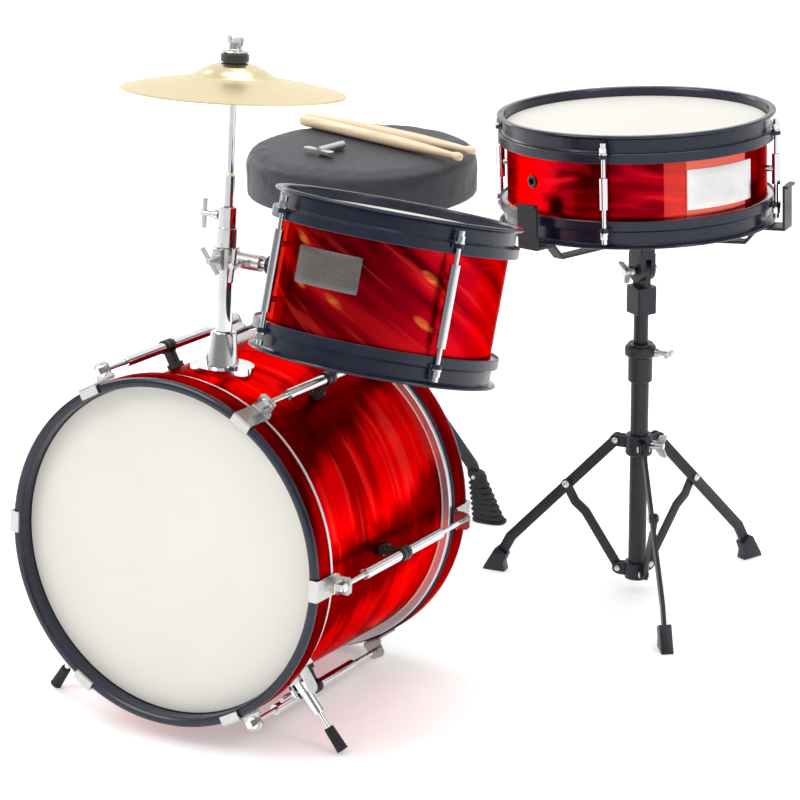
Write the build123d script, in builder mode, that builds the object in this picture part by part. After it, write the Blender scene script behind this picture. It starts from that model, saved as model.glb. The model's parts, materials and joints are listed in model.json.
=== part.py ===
from build123d import *
import os
from math import sin, cos, tan, radians, sqrt, atan2, degrees, asin

os.makedirs("parts", exist_ok=True)

# ---------------------------------------------------------------- placement
# The kit is laid out on the floor plane z = 0. The audience is on the -Y side,
# the player sits on the +Y side. KIT_X and KIT_Y bring the middle of the
# kit's footprint onto the origin.
KIT_X = -52.42
KIT_Y = -381.88

# ---------------------------------------------------------------- bass drum
BASS_R = 152.4            # 12 inch shell
BASS_WALL = 5.0
BASS_TILT = 3.756         # front raised by the spurs
BASS_FRONT_Z = 181.0      # height of the front hoop's centre
BASS_LEN = 280.1          # front bead to rear bead
HOOP_DEPTH = 24.5
HEAD_IN = 14.2            # head film below the bead
CLAW_ANGLE = -1.65        # first claw, from +X towards up
CLAW_W = 20.0
BASS_ROD_R = 174.0        # radius of the tension rods' circle
LUG_A, LUG_B = 64.0, 206.0
SPUR_ANGLES = (-45.0, -135.0)
SPUR_H = 52.0
SPUR_PIVOT_R = 170.0
SPUR_TIP = (158.0, 47.0)
TIP_R = 5.8

# ---------------------------------------------------------------- holder post
POST_LEAN = 7.28          # degrees, leaning towards the player
POST_H = 100.2            # where it stands along the bass drum
POST_R = 7.75
ARM_S = 102.0             # height of the tom arm along the post
ROD_LOW_R, ROD_TOP_R = 4.75, 3.2
CYMBAL_S = 253.4          # cymbal edge plane along the rod
CYMBAL_R = 101.6

# ---------------------------------------------------------------- tom and snare
TOM_R, TOM_LIP, TOM_LEN = 101.6, 110.5, 140.65
TOM_TOP = (178.8, 126.4, 495.9)
TOM_N = (0.068, 0.279, 1.0)
SNARE_R, SNARE_LIP, SNARE_LEN = 127.0, 136.0, 107.0
SNARE_TOP = (223.0, 521.6, 504.5)
SNARE_N = (-0.046, 0.030, 1.0)
ROD_OUT = 11.0            # rods stand this far off the shell
HOOP_H = 26.0
RIGHT = (0.8736, 0.4867, 0.0)   # reference direction for the rods' angles

# ---------------------------------------------------------------- snare stand
STAND_X, STAND_Y = 229.5, 528.0
STAND_AZ = {"front": -54.9, "right": 65.1, "left": 185.1}
S_TUBE_R, S_UP_R = 9.0, 7.35
S_UP = (24.0, 161.5)      # leg pivot on the collar (radius, height)
S_MID = (76.5, 107.0)     # leg to brace rivet
S_LOW = (18.5, 24.0)      # brace pivot on the bottom bracket
S_KNEE = (139.0, 38.6)
S_FOOT = (156.0, 6.0)
TILT_Z = 343.0
TILT_AZ = 60.0
CLIP_AZ = (-109.3, 10.7, 130.7)
CLIP_R = 148.0

# ---------------------------------------------------------------- throne
THRONE_X, THRONE_Y = -148.0, 630.0
THRONE_AZ = {"a": 2.0, "b": 122.0, "c": 242.0}
T_TUBE_R, T_POST_R = 11.0, 8.9
T_UP = (27.0, 191.0)
T_MID = (82.6, 121.7)
T_LOW = (21.0, 40.0)
T_END = (138.0, 42.0)
SEAT_R, SEAT_BOT, SEAT_TOP = 125.5, 356.0, 404.0

# ---------------------------------------------------------------- pedal
AXLE_Y, AXLE_Z = 310.0, 90.0
BEATER_L = 81.3
HEEL_Y, HEEL_Z = 440.0, 14.0
SPZ0, SPZ1 = 22.0, AXLE_Z - 2.2   # return spring's ends
BOARD_RISE = 15.5


def at(x, y, z):
    return Vector(x + KIT_X, y + KIT_Y, z)


def polar(x, y, deg):
    return x * cos(radians(deg)) + y * sin(radians(deg))


def across(n):
    t = Vector(0, 0, 1).cross(n)
    if t.length < 1e-3:
        t = Vector(1, 0, 0)
    return t.normalized()


def seg(a, b):
    """Plane at a that looks towards b."""
    n = (b - a).normalized()
    return Plane(origin=a, x_dir=across(n), z_dir=n)


def gap(a, b):
    return (b - a).length


def profile(o, x, n):
    """Plane whose x is radial and whose y runs along the axis n."""
    return Plane(origin=o, x_dir=x, z_dir=x.cross(n))


def strip(pts, w):
    """Outline of a flat bar of width w along the points."""
    left, right = [], []
    for i, p in enumerate(pts):
        a = pts[max(i - 1, 0)]
        b = pts[min(i + 1, len(pts) - 1)]
        d1 = Vector(p[0] - a[0], p[1] - a[1], 0)
        d2 = Vector(b[0] - p[0], b[1] - p[1], 0)
        if d1.length < 1e-6:
            d1 = d2
        if d2.length < 1e-6:
            d2 = d1
        d1, d2 = d1.normalized(), d2.normalized()
        m = (d1 + d2).normalized()
        k = w / 2 / max(0.5, m.dot(d1))
        left.append((p[0] - m.Y * k, p[1] + m.X * k))
        right.append((p[0] + m.Y * k, p[1] - m.X * k))
    return left + right[::-1]


def t_bolt(p, d, t, reach=22.0, bar=25.0):
    """A T bolt: collar, shank and crossbar as (start, end, radius)."""
    return [(p, p + d * 4.0, 4.6),
            (p, p + d * reach, 2.8),
            (p + d * (reach - 3.0) - t * (bar / 2), p + d * (reach - 3.0) + t * (bar / 2), 2.5)]


# drum frames
ct, st = cos(radians(BASS_TILT)), sin(radians(BASS_TILT))
BN = Vector(0, ct, -st)
BX = Vector(1, 0, 0)
BU = Vector(0, st, ct)
BO = at(0, 0, BASS_FRONT_Z)

TN = Vector(*TOM_N).normalized()
TO = at(*TOM_TOP)
R0 = Vector(*RIGHT)
T1 = (R0 - TN * R0.dot(TN)).normalized()
T2 = T1.cross(TN)            # towards the audience side
TOM_RODS = [61.5 + 90 * k for k in range(4)]

SN = Vector(*SNARE_N).normalized()
SO = at(*SNARE_TOP)
S1 = (R0 - SN * R0.dot(SN)).normalized()
S2 = S1.cross(SN)
SNARE_RODS = [17.3 + 90 * k for k in range(4)]

# =================================================================== BASS DRUM
def both_ends(pts, front):
    return [(r, h) if front else (r, BASS_LEN - h) for r, h in pts]


with BuildPart() as bass_shell:
    a, b = HEAD_IN + 1.0, BASS_LEN - HEAD_IN - 1.0
    with BuildSketch(profile(BO, BX, BN)):
        with BuildLine():
            Polyline((BASS_R - BASS_WALL, a + 3.5), (BASS_R - 1.5, a), (BASS_R - 0.2, a), (BASS_R, a + 0.8),
                     (BASS_R, b - 0.8), (BASS_R - 0.2, b), (BASS_R - 1.5, b), (BASS_R - BASS_WALL, b - 3.5), close=True)
        make_face()
    revolve(axis=Axis(BO, BN), revolution_arc=360)
    # hole for the holder post
    pa = Vector(0, sin(radians(POST_LEAN)), cos(radians(POST_LEAN)))
    hb = BO + BN * POST_H + BU * BASS_R
    with BuildSketch(Plane(origin=hb - pa * 14, x_dir=BX, z_dir=pa)):
        Circle(POST_R + 0.05)
    extrude(amount=20, mode=Mode.SUBTRACT)
bass_shell.part.label = "bass_shell"

with BuildPart() as bass_heads:
    for front in (True, False):
        h = HEAD_IN
        with BuildSketch(profile(BO, BX, BN)):
            with BuildLine():
                Polyline(*both_ends([(0, h), (153.2, h), (153.9, h + 0.8), (153.9, HOOP_DEPTH + 0.3), (160.6, HOOP_DEPTH + 0.3), (160.9, HOOP_DEPTH + 1.1),
                                     (160.9, HOOP_DEPTH + 5.4), (160.4, HOOP_DEPTH + 6.2), (152.7, HOOP_DEPTH + 6.2), (152.7, h + 1.0), (0, h + 1.0)], front), close=True)
            make_face()
        revolve(axis=Axis(BO, BN), revolution_arc=360)
bass_heads.part.label = "bass_heads"

with BuildPart() as bass_hoops:
    for front in (True, False):
        with BuildSketch(profile(BO, BX, BN)):
            with BuildLine():
                Polyline(*both_ends([(154.2, 1.2), (154.9, -0.6), (156.4, -1.7), (158.6, -2.0), (160.8, -1.7), (162.3, -0.6),
                                     (163.0, 1.0), (163.0, 3.6), (161.8, 4.2), (161.8, 20.4), (162.6, 21.0), (162.6, HOOP_DEPTH - 0.6),
                                     (162.0, HOOP_DEPTH), (154.2, HOOP_DEPTH)], front), close=True)
            make_face()
        revolve(axis=Axis(BO, BN), revolution_arc=360)
bass_hoops.part.label = "bass_hoops"

with BuildPart() as bass_claws:
    for front in (True, False):
        for k in range(6):
            u = polar(BX, BU, CLAW_ANGLE + 60 * k)
            with BuildSketch(profile(BO, u, BN)):
                with BuildLine():
                    Polyline(*both_ends([(155.4, -4.0), (156.0, -4.5), (163.6, -4.5), (165.1, -3.0), (165.1, 25.5), (166.2, 26.5),
                                         (168.0, 26.5), (168.0, 28.5), (165.0, 28.5), (163.2, 26.7), (163.2, -2.2), (155.4, -2.2)], front), close=True)
                make_face()
            extrude(amount=CLAW_W / 2, both=True)
            with BuildSketch(Plane(origin=BO + BN * (26.5 if front else BASS_LEN - 28.5), x_dir=u, z_dir=BN)):
                with BuildLine():
                    Polyline((167.0, -9.5), (169.5, -8.5), (178.5, -8.5), (181.5, -5.5), (181.5, 5.5), (178.5, 8.5), (169.5, 8.5), (167.0, 9.5), close=True)
                make_face()
            extrude(amount=2.0)
    for k in range(6):
        u = polar(BX, BU, CLAW_ANGLE + 60 * k)
        for h0 in (14.0, BASS_LEN - 39.0):
            with BuildSketch(Plane(origin=BO + u * BASS_ROD_R + BN * h0, x_dir=u, z_dir=BN)):
                Circle(2.6)
            extrude(amount=25.0, mode=Mode.SUBTRACT)
bass_claws.part.label = "bass_claws"

with BuildPart() as bass_tension_rods:
    for k in range(6):
        u = polar(BX, BU, CLAW_ANGLE + 60 * k)
        c = BO + u * BASS_ROD_R
        for h_head, h_wash, h_rod, s in ((18.5, 24.9, 80.0, 1), (BASS_LEN - 18.5, BASS_LEN - 24.9, BASS_LEN - 86.0, -1)):
            with BuildSketch(Plane(origin=c + BN * h_head, x_dir=u, z_dir=BN * s)):
                RectangleRounded(6.2, 6.2, 0.7)
            extrude(amount=6.4)
            with BuildSketch(Plane(origin=c + BN * h_wash, x_dir=u, z_dir=BN * s)):
                Circle(5.6)
            extrude(amount=1.6)
            with BuildSketch(Plane(origin=c + BN * (h_wash + s), x_dir=u, z_dir=BN * s)):
                Circle(2.4)
            extrude(amount=abs(h_rod - h_wash) - 1.0)
bass_tension_rods.part.label = "bass_tension_rods"

with BuildPart() as bass_lug_tubes:
    for k in range(6):
        u = polar(BX, BU, CLAW_ANGLE + 60 * k)
        with BuildSketch(Plane(origin=BO + u * BASS_ROD_R + BN * LUG_A, x_dir=u, z_dir=BN)):
            Circle(5.0)
            Circle(2.6, mode=Mode.SUBTRACT)
        extrude(amount=LUG_B - LUG_A)
bass_lug_tubes.part.label = "bass_lug_tubes"

with BuildPart() as bass_lug_saddles:
    mid = (LUG_A + LUG_B) / 2
    for k in range(6):
        u = polar(BX, BU, CLAW_ANGLE + 60 * k)
        with BuildSketch(Plane(origin=BO + BN * (mid - 7.2), x_dir=u, z_dir=BN)):
            with Locations((154.5, 0)):
                Rectangle(5.0, 9.0)
        extrude(amount=14.4)
        for h0 in (mid - 6.2, mid + 0.8):
            with BuildSketch(Plane(origin=BO + BN * h0, x_dir=u, z_dir=BN)):
                with Locations((160.5, 0)):
                    Rectangle(18.0, 5.0)
                with Locations((BASS_ROD_R, 0)):
                    Circle(6.7)
                    Circle(5.05, mode=Mode.SUBTRACT)
            extrude(amount=5.4)
    with BuildSketch(Plane(origin=BO, x_dir=BX, z_dir=BN)):
        Circle(BASS_R + 0.02)
    extrude(amount=BASS_LEN, mode=Mode.SUBTRACT)
bass_lug_saddles.part.label = "bass_lug_saddles"

# spurs: pivot, tip and the two ear directions of each
def spur_frame(ang, sx):
    """Pivot point, spur direction, fold axis and the direction the ears point."""
    p = BO + BN * SPUR_H + polar(BX, BU, ang) * SPUR_PIVOT_R
    tip = at(sx * SPUR_TIP[0], SPUR_TIP[1], 3.7)
    for _ in range(4):
        d = (tip - p).normalized()
        tip = Vector(tip.X, tip.Y, TIP_R * sqrt(1 - d.Z * d.Z))
    v = d.cross(BN).normalized()      # turning about +v swings the tip to the rear
    e = BN.cross(v).normalized()
    e = e if e.dot(d) > 0 else e * -1.0
    return p, tip, (tip - p).normalized(), v, e


SPURS = {"right": spur_frame(SPUR_ANGLES[0], 1), "left": spur_frame(SPUR_ANGLES[1], -1)}

# spur brackets: a curved foot, two ears and the pivot pin
with BuildPart() as spur_brackets:
    for ang in SPUR_ANGLES:
        u = polar(BX, BU, ang)
        with BuildSketch(Plane(origin=BO + BN * (SPUR_H - 11), x_dir=u, z_dir=BN)):
            with Locations((153.0, 0)):
                Rectangle(6.0, 36.0)
        extrude(amount=22)
    for p, tip, d, v, e in SPURS.values():
        for k in (-1, 1):
            with BuildSketch(Plane(origin=p + v * (k * 6.8), x_dir=e, z_dir=v * k)):
                with Locations((-9.0, 0)):
                    Rectangle(18.0, 16.0)
                Circle(8.0)
            extrude(amount=2.4)
    with BuildSketch(Plane(origin=BO, x_dir=BX, z_dir=BN)):
        Circle(BASS_R + 0.02)
    extrude(amount=90, mode=Mode.SUBTRACT)
    for p, tip, d, v, e in SPURS.values():
        with BuildSketch(Plane(origin=p - v * 8.0, x_dir=e, z_dir=v)):
            Circle(2.5)
        extrude(amount=16.0)
spur_brackets.part.label = "spur_brackets"

# spurs: ferrule on the pivot, thin rod, rubber tip
spur_parts = {}
for name, (p, tip, d, v, e) in SPURS.items():
    with BuildPart() as spur_rod:
        with BuildSketch(seg(p - d * 7, tip)):
            Circle(6.2)
        extrude(amount=33)
        with BuildSketch(seg(p, tip)):
            Circle(2.6)
        extrude(amount=gap(p, tip) - 24)
        with BuildSketch(Plane(origin=p - v * 12, x_dir=e, z_dir=v)):
            Circle(2.55)
        extrude(amount=24, mode=Mode.SUBTRACT)
    with BuildPart() as spur_tip:
        with BuildSketch(profile(tip, across(d), d)):
            with BuildLine():
                Polyline((0, -24), (4.2, -24), (4.7, -23), (5.0, -14), (TIP_R - 0.4, -1.2), (TIP_R, 0), (0, 0), close=True)
            make_face()
        revolve(axis=Axis(tip, d), revolution_arc=360)
    spur_parts[name] = Compound(label="spur_" + name, children=[spur_rod.part, spur_tip.part])

# =================================================================== HOLDER
PA = Vector(0, sin(radians(POST_LEAN)), cos(radians(POST_LEAN)))
HB = BO + BN * POST_H + BU * BASS_R

with BuildPart() as holder_flange:
    with BuildSketch(Plane(origin=HB - BU * 15, x_dir=BX, z_dir=BU)):
        Ellipse(31, 25)
    extrude(amount=18.2)
    with BuildSketch(Plane(origin=BO, x_dir=BX, z_dir=BN)):
        Circle(BASS_R + 0.02)
    extrude(amount=BASS_LEN, mode=Mode.SUBTRACT)
    with BuildSketch(profile(HB, BX, PA)):
        with BuildLine():
            Polyline((POST_R + 0.05, 0.4), (16.0, 0.4), (15.4, 4.0), (11.6, 33.0), (11.0, 34.0), (POST_R + 0.05, 34.0), close=True)
        make_face()
    revolve(axis=Axis(HB, PA), revolution_arc=360)
    with BuildSketch(Plane(origin=BO, x_dir=BX, z_dir=BN)):
        Circle(BASS_R + 0.02)
    extrude(amount=BASS_LEN, mode=Mode.SUBTRACT)
    with BuildSketch(Plane(origin=HB - PA * 10, x_dir=BX, z_dir=PA)):
        Circle(POST_R + 0.05)
    extrude(amount=60, mode=Mode.SUBTRACT)
holder_flange.part.label = "holder_flange"

with BuildPart() as holder_post:
    with BuildSketch(profile(HB, BX, PA)):
        with BuildLine():
            Polyline((5.6, -24), (POST_R, -24), (POST_R, 112), (10.6, 112), (11.0, 112.6), (11.0, 129.4), (10.4, 130),
                     (9.4, 130.2), (9.4, 148.4), (8.8, 149.0), (ROD_LOW_R + 0.05, 149.0), (ROD_LOW_R + 0.05, 132), (5.6, 131), close=True)
        make_face()
    revolve(axis=Axis(HB, PA), revolution_arc=360)
holder_post.part.label = "holder_post"

AC = HB + PA * ARM_S
TC = TO - TN * (TOM_LEN / 2)
AD = (TC - AC).normalized()
AP = PA.cross(AD).normalized()
with BuildPart() as tom_arm:
    with BuildSketch(Plane(origin=AC - PA * 9.5, x_dir=BX, z_dir=PA)):
        Circle(12.4)
        with Locations((0, -14.0)):
            Rectangle(9, 8)
    extrude(amount=19)
    with BuildSketch(seg(AC, TC)):
        Circle(7.5)
    extrude(amount=40)
    with BuildSketch(Plane(origin=AC - PA * 12, x_dir=BX, z_dir=PA)):
        Circle(POST_R + 0.06)
    extrude(amount=24, mode=Mode.SUBTRACT)
    with BuildSketch(Plane(origin=AC + AD * 39, x_dir=across(AD), z_dir=AD)):
        Circle(4.5)
    extrude(amount=30)
tom_arm.part.label = "tom_arm"

with BuildPart() as tom_arm_bolts:
    vd = (Vector(0.487, -0.874, 0) - AD * Vector(0.487, -0.874, 0).dot(AD)).normalized()
    py = PA.cross(BX)
    for a, b, r in (t_bolt(AC + AD * 21 + vd * 7.55, vd, (PA + AD * 0.12).normalized(), 14, 31)
                    + t_bolt(AC - py * 18.05, py * -1.0, (PA * 0.78 + BX * -0.62).normalized(), 14, 28)):
        with BuildSketch(seg(a, b)):
            Circle(r)
        extrude(amount=gap(a, b))
tom_arm_bolts.part.label = "tom_arm_bolts"

# =================================================================== DRUM MAKER
def hoop_pts(r, lip, top, length):
    p = [(r + 1.6, -1.2), (r + 2.2, 0.2), (r + 3.2, 0.8), (lip - 1.6, 0.9), (lip - 0.4, 0.4), (lip, -0.5), (lip - 0.3, -1.6), (lip - 1.2, -2.2),
         (r + 4.6, -2.5), (r + 3.4, -3.8), (r + 3.4, -14.6), (r + 4.4, -16.0), (r + 7.4, -16.25), (r + 8.2, -17.0), (r + 8.2, -25.4),
         (r + 7.8, -HOOP_H), (r + 6.8, -HOOP_H), (r + 6.6, -25.4), (r + 6.6, -18.4), (r + 5.8, -17.8), (r + 1.6, -17.6)]
    return p if top else [(x, -length - h) for x, h in p]


def head_pts(r, top, length):
    p = [(0, -8.2), (r + 0.3, -8.2), (r + 1.2, -9.0), (r + 1.2, -18.7), (r + 6.2, -18.7), (r + 6.2, -24.0), (r + 0.4, -24.0), (r + 0.4, -9.2), (0, -9.2)]
    return p if top else [(x, -length - h) for x, h in p]


# =================================================================== TOM
with BuildPart() as tom_shell:
    with BuildSketch(profile(TO, T1, TN)):
        with BuildLine():
            a, b = -9.2, -TOM_LEN + 9.2
            Polyline((TOM_R - 4.5, a - 3.2), (TOM_R - 1.4, a), (TOM_R - 0.2, a), (TOM_R, a - 0.8), (TOM_R, b + 0.8),
                     (TOM_R - 0.2, b), (TOM_R - 1.4, b), (TOM_R - 4.5, b + 3.2), close=True)
        make_face()
    revolve(axis=Axis(TO, TN), revolution_arc=360)
tom_shell.part.label = "tom_shell"

with BuildPart() as tom_heads:
    for top in (True, False):
        with BuildSketch(profile(TO, T1, TN)):
            with BuildLine():
                Polyline(*head_pts(TOM_R, top, TOM_LEN), close=True)
            make_face()
        revolve(axis=Axis(TO, TN), revolution_arc=360)
tom_heads.part.label = "tom_heads"

with BuildPart() as tom_hoops:
    for top in (True, False):
        with BuildSketch(profile(TO, T1, TN)):
            with BuildLine():
                Polyline(*hoop_pts(TOM_R, TOM_LIP, top, TOM_LEN), close=True)
            make_face()
        revolve(axis=Axis(TO, TN), revolution_arc=360)
    for h0 in (-20.2, -TOM_LEN + 16.25):
        for ang in TOM_RODS:
            u = polar(T1, T2, ang)
            with BuildSketch(Plane(origin=TO + TN * h0, x_dir=u, z_dir=TN)):
                with Locations((TOM_R + ROD_OUT, 0)):
                    Circle(4.4)
                with Locations((TOM_R + 9.3, 0)):
                    Rectangle(3.4, 13.0)
                with Locations((TOM_R + ROD_OUT, 0)):
                    Circle(2.35, mode=Mode.SUBTRACT)
            extrude(amount=3.95)
tom_hoops.part.label = "tom_hoops"

with BuildPart() as tom_rods:
    for ang in TOM_RODS:
        u = polar(T1, T2, ang)
        c = TO + u * (TOM_R + ROD_OUT)
        for h0, s in ((-16.15, 1), (-TOM_LEN + 16.15, -1)):
            with BuildSketch(Plane(origin=c + TN * h0, x_dir=u, z_dir=TN * s)):
                Circle(4.5)
            extrude(amount=1.4)
            with BuildSketch(Plane(origin=c + TN * h0, x_dir=u, z_dir=TN * s)):
                RegularPolygon(3.8, 6)
            extrude(amount=6.5)
            with BuildSketch(Plane(origin=c + TN * h0, x_dir=u, z_dir=TN * s)):
                Circle(3.0)
            extrude(amount=11.0)
        with BuildSketch(Plane(origin=c - TN * 18, x_dir=u, z_dir=-TN)):
            Circle(2.2)
        extrude(amount=TOM_LEN - 36)
        with BuildSketch(Plane(origin=c - TN * 16.15, x_dir=u, z_dir=-TN)):
            Circle(2.2)
        extrude(amount=TOM_LEN - 32.3)
tom_rods.part.label = "tom_rods"

with BuildPart() as tom_lug_tubes:
    for ang in TOM_RODS:
        u = polar(T1, T2, ang)
        v = TN.cross(u)
        c = TO + u * (TOM_R + ROD_OUT)
        for h0 in (-TOM_LEN / 2 + 24, -TOM_LEN / 2 - 24):
            with BuildSketch(Plane(origin=TO + TN * h0 + u * (TOM_R - 2), x_dir=v, z_dir=u)):
                Circle(2.8)
            extrude(amount=ROD_OUT)
        with BuildSketch(Plane(origin=c - TN * (TOM_LEN / 2 + 36), x_dir=u, z_dir=TN)):
            Circle(4.3)
        extrude(amount=72)
        with BuildSketch(Plane(origin=c - TN * (TOM_LEN / 2 + 37), x_dir=u, z_dir=TN)):
            Circle(2.4)
        extrude(amount=74, mode=Mode.SUBTRACT)
    with BuildSketch(Plane(origin=TO - TN * TOM_LEN, x_dir=T1, z_dir=TN)):
        Circle(TOM_R + 0.02)
    extrude(amount=TOM_LEN, mode=Mode.SUBTRACT)
tom_lug_tubes.part.label = "tom_lug_tubes"

# bracket on the tom's wall, turning on the arm's rod
with BuildPart() as tom_bracket:
    wall = gap(AC, TC) - TOM_R
    av = TN.cross(AD).normalized()
    with BuildSketch(Plane(origin=AC + AD * (wall - 3.4), x_dir=av, z_dir=AD)):
        RectangleRounded(38, 46, 6)
    extrude(amount=16)
    with BuildSketch(Plane(origin=AC + AD * 48.5, x_dir=av, z_dir=AD)):
        Circle(9.0)
    extrude(amount=wall - 48.5)
    with BuildSketch(Plane(origin=TO - TN * TOM_LEN, x_dir=T1, z_dir=TN)):
        Circle(TOM_R + 0.02)
    extrude(amount=TOM_LEN, mode=Mode.SUBTRACT)
    with BuildSketch(Plane(origin=AC + AD * 48.0, x_dir=av, z_dir=AD)):
        Circle(4.56)
    extrude(amount=21.6, mode=Mode.SUBTRACT)
tom_bracket.part.label = "tom_bracket"

# =================================================================== CYMBAL
CO = HB + PA * CYMBAL_S          # middle of the edge plane
BELL = 15.0                      # bell top above the edge plane
with BuildPart() as cymbal_rod:
    with BuildSketch(profile(HB, BX, PA)):
        with BuildLine():
            Polyline((0, 72), (ROD_LOW_R - 0.5, 72), (ROD_LOW_R, 73), (ROD_LOW_R, 177), (ROD_TOP_R, 180), (ROD_TOP_R, CYMBAL_S + 6.0),
                     (7.5, CYMBAL_S + 6.2), (7.5, CYMBAL_S + 7.8), (ROD_TOP_R, CYMBAL_S + 8.0), (ROD_TOP_R, 301), (2.6, 302), (0, 302), close=True)
        make_face()
    revolve(axis=Axis(HB, PA), revolution_arc=360)
cymbal_rod.part.label = "cymbal_rod"

with BuildPart() as cymbal:
    with BuildSketch(profile(CO, BX, PA)):
        with BuildLine():
            top = [(CYMBAL_R, 0.5), (93, 2.6), (84, 4.7), (75, 6.5), (66, 8.1), (58, 9.4), (50, 10.7), (44, 12.0), (38, 14.0), (33, 16.7), (28, 20.0),
                   (22, 23.0), (16, 25.0), (10, 25.9), (6.0, 26.0)]
            low = [(6.0, 24.8), (10, 24.7), (15.7, 23.8), (21.5, 21.9), (27.3, 19.0), (32.4, 15.6), (37.6, 12.8), (44, 10.8), (50, 9.5), (58, 8.2), (66, 6.9),
                   (75, 5.3), (84, 3.5), (93, 1.4), (CYMBAL_R, -0.5)]
            Polyline(*top, *low, close=True)
        make_face()
    revolve(axis=Axis(CO, PA), revolution_arc=360)
cymbal.part.label = "cymbal"

# lower felt in the cup, upper felt with its black cap, one stack round the rod
with BuildPart() as cymbal_felts:
    with BuildSketch(profile(CO, BX, PA)):
        with BuildLine():
            Polyline((5.0, 9.4), (11, 9.4), (12, 10.6), (12, 22.6), (11.0, 24.0), (5.6, 24.4), (5.6, 26.3), (10.5, 26.3), (12.4, 27.0),
                     (12.7, 27.6), (12.7, 33.0), (12.0, 33.7), (5.0, 33.7), close=True)
        make_face()
    revolve(axis=Axis(CO, PA), revolution_arc=360)
cymbal_felts.part.label = "cymbal_felts"

with BuildPart() as cymbal_wing_nut:
    with BuildSketch(profile(CO, BX, PA)):
        with BuildLine():
            Polyline((3.4, 34.9), (12.0, 34.9), (12.4, 35.5), (12.0, 36.2), (7.2, 36.5), (7.0, 37.6), (6.2, 38.2), (5.4, 43.6), (3.4, 43.6), close=True)
        make_face()
    revolve(axis=Axis(CO, PA), revolution_arc=360)
    wx = polar(BX, PA.cross(BX), 156)
    wz = wx.cross(PA)
    for s in (-1, 1):
        with BuildSketch(Plane(origin=CO - wz * 1.3, x_dir=wx, z_dir=wz)):
            with BuildLine():
                Polyline((s * 4.2, 37.2), (s * 6.4, 37.2), (s * 9.2, 41.0), (s * 11.0, 46.0), (s * 10.6, 48.6), (s * 8.8, 49.6), (s * 6.6, 48.2), (s * 5.0, 43.0), (s * 4.2, 42.6), close=True)
            make_face()
        extrude(amount=2.6)
    with BuildSketch(Plane(origin=CO + PA * 34, x_dir=BX, z_dir=PA)):
        Circle(3.35)
    extrude(amount=20, mode=Mode.SUBTRACT)
cymbal_wing_nut.part.label = "cymbal_wing_nut"

# =================================================================== SNARE
with BuildPart() as snare_shell:
    with BuildSketch(profile(SO, S1, SN)):
        with BuildLine():
            a, b = -9.2, -SNARE_LEN + 9.2
            Polyline((SNARE_R - 4.5, a - 3.2), (SNARE_R - 1.4, a), (SNARE_R - 0.2, a), (SNARE_R, a - 0.8), (SNARE_R, b + 0.8),
                     (SNARE_R - 0.2, b), (SNARE_R - 1.4, b), (SNARE_R - 4.5, b + 3.2), close=True)
        make_face()
    revolve(axis=Axis(SO, SN), revolution_arc=360)
    vent = polar(S1, S2, 146)
    with BuildSketch(Plane(origin=SO - SN * 52 + vent * (SNARE_R - 10), x_dir=SN, z_dir=vent)):
        Circle(4.0)
    extrude(amount=14, mode=Mode.SUBTRACT)
snare_shell.part.label = "snare_shell"

with BuildPart() as snare_heads:
    for top in (True, False):
        with BuildSketch(profile(SO, S1, SN)):
            with BuildLine():
                Polyline(*head_pts(SNARE_R, top, SNARE_LEN), close=True)
            make_face()
        revolve(axis=Axis(SO, SN), revolution_arc=360)
snare_heads.part.label = "snare_heads"

STR_ANG = 239.0
SU = polar(S1, S2, STR_ANG)
SV = SN.cross(SU)
with BuildPart() as snare_hoops:
    for top in (True, False):
        with BuildSketch(profile(SO, S1, SN)):
            with BuildLine():
                Polyline(*hoop_pts(SNARE_R, SNARE_LIP, top, SNARE_LEN), close=True)
            make_face()
        revolve(axis=Axis(SO, SN), revolution_arc=360)
    for h0 in (-20.2, -SNARE_LEN + 16.25):
        for ang in SNARE_RODS:
            u = polar(S1, S2, ang)
            with BuildSketch(Plane(origin=SO + SN * h0, x_dir=u, z_dir=SN)):
                with Locations((SNARE_R + ROD_OUT, 0)):
                    Circle(4.4)
                with Locations((SNARE_R + 9.3, 0)):
                    Rectangle(3.4, 13.0)
                with Locations((SNARE_R + ROD_OUT, 0)):
                    Circle(2.35, mode=Mode.SUBTRACT)
            extrude(amount=3.95)
    # snare gate: the strap leaves through the lower hoop's wall
    with BuildSketch(Plane(origin=SO - SN * 102.6, x_dir=SU, z_dir=SN)):
        with Locations((SNARE_R + 2.5, 0)):
            Rectangle(5.0, 34.0)
    extrude(amount=4.6, mode=Mode.SUBTRACT)
snare_hoops.part.label = "snare_hoops"

with BuildPart() as snare_rods:
    for ang in SNARE_RODS:
        u = polar(S1, S2, ang)
        c = SO + u * (SNARE_R + ROD_OUT)
        for h0, s in ((-16.15, 1), (-SNARE_LEN + 16.15, -1)):
            with BuildSketch(Plane(origin=c + SN * h0, x_dir=u, z_dir=SN * s)):
                Circle(4.5)
            extrude(amount=1.4)
            with BuildSketch(Plane(origin=c + SN * h0, x_dir=u, z_dir=SN * s)):
                RegularPolygon(3.8, 6)
            extrude(amount=6.5)
            with BuildSketch(Plane(origin=c + SN * h0, x_dir=u, z_dir=SN * s)):
                Circle(3.0)
            extrude(amount=11.0)
        with BuildSketch(Plane(origin=c - SN * 16.15, x_dir=u, z_dir=-SN)):
            Circle(2.2)
        extrude(amount=SNARE_LEN - 32.3)
snare_rods.part.label = "snare_rods"

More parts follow.
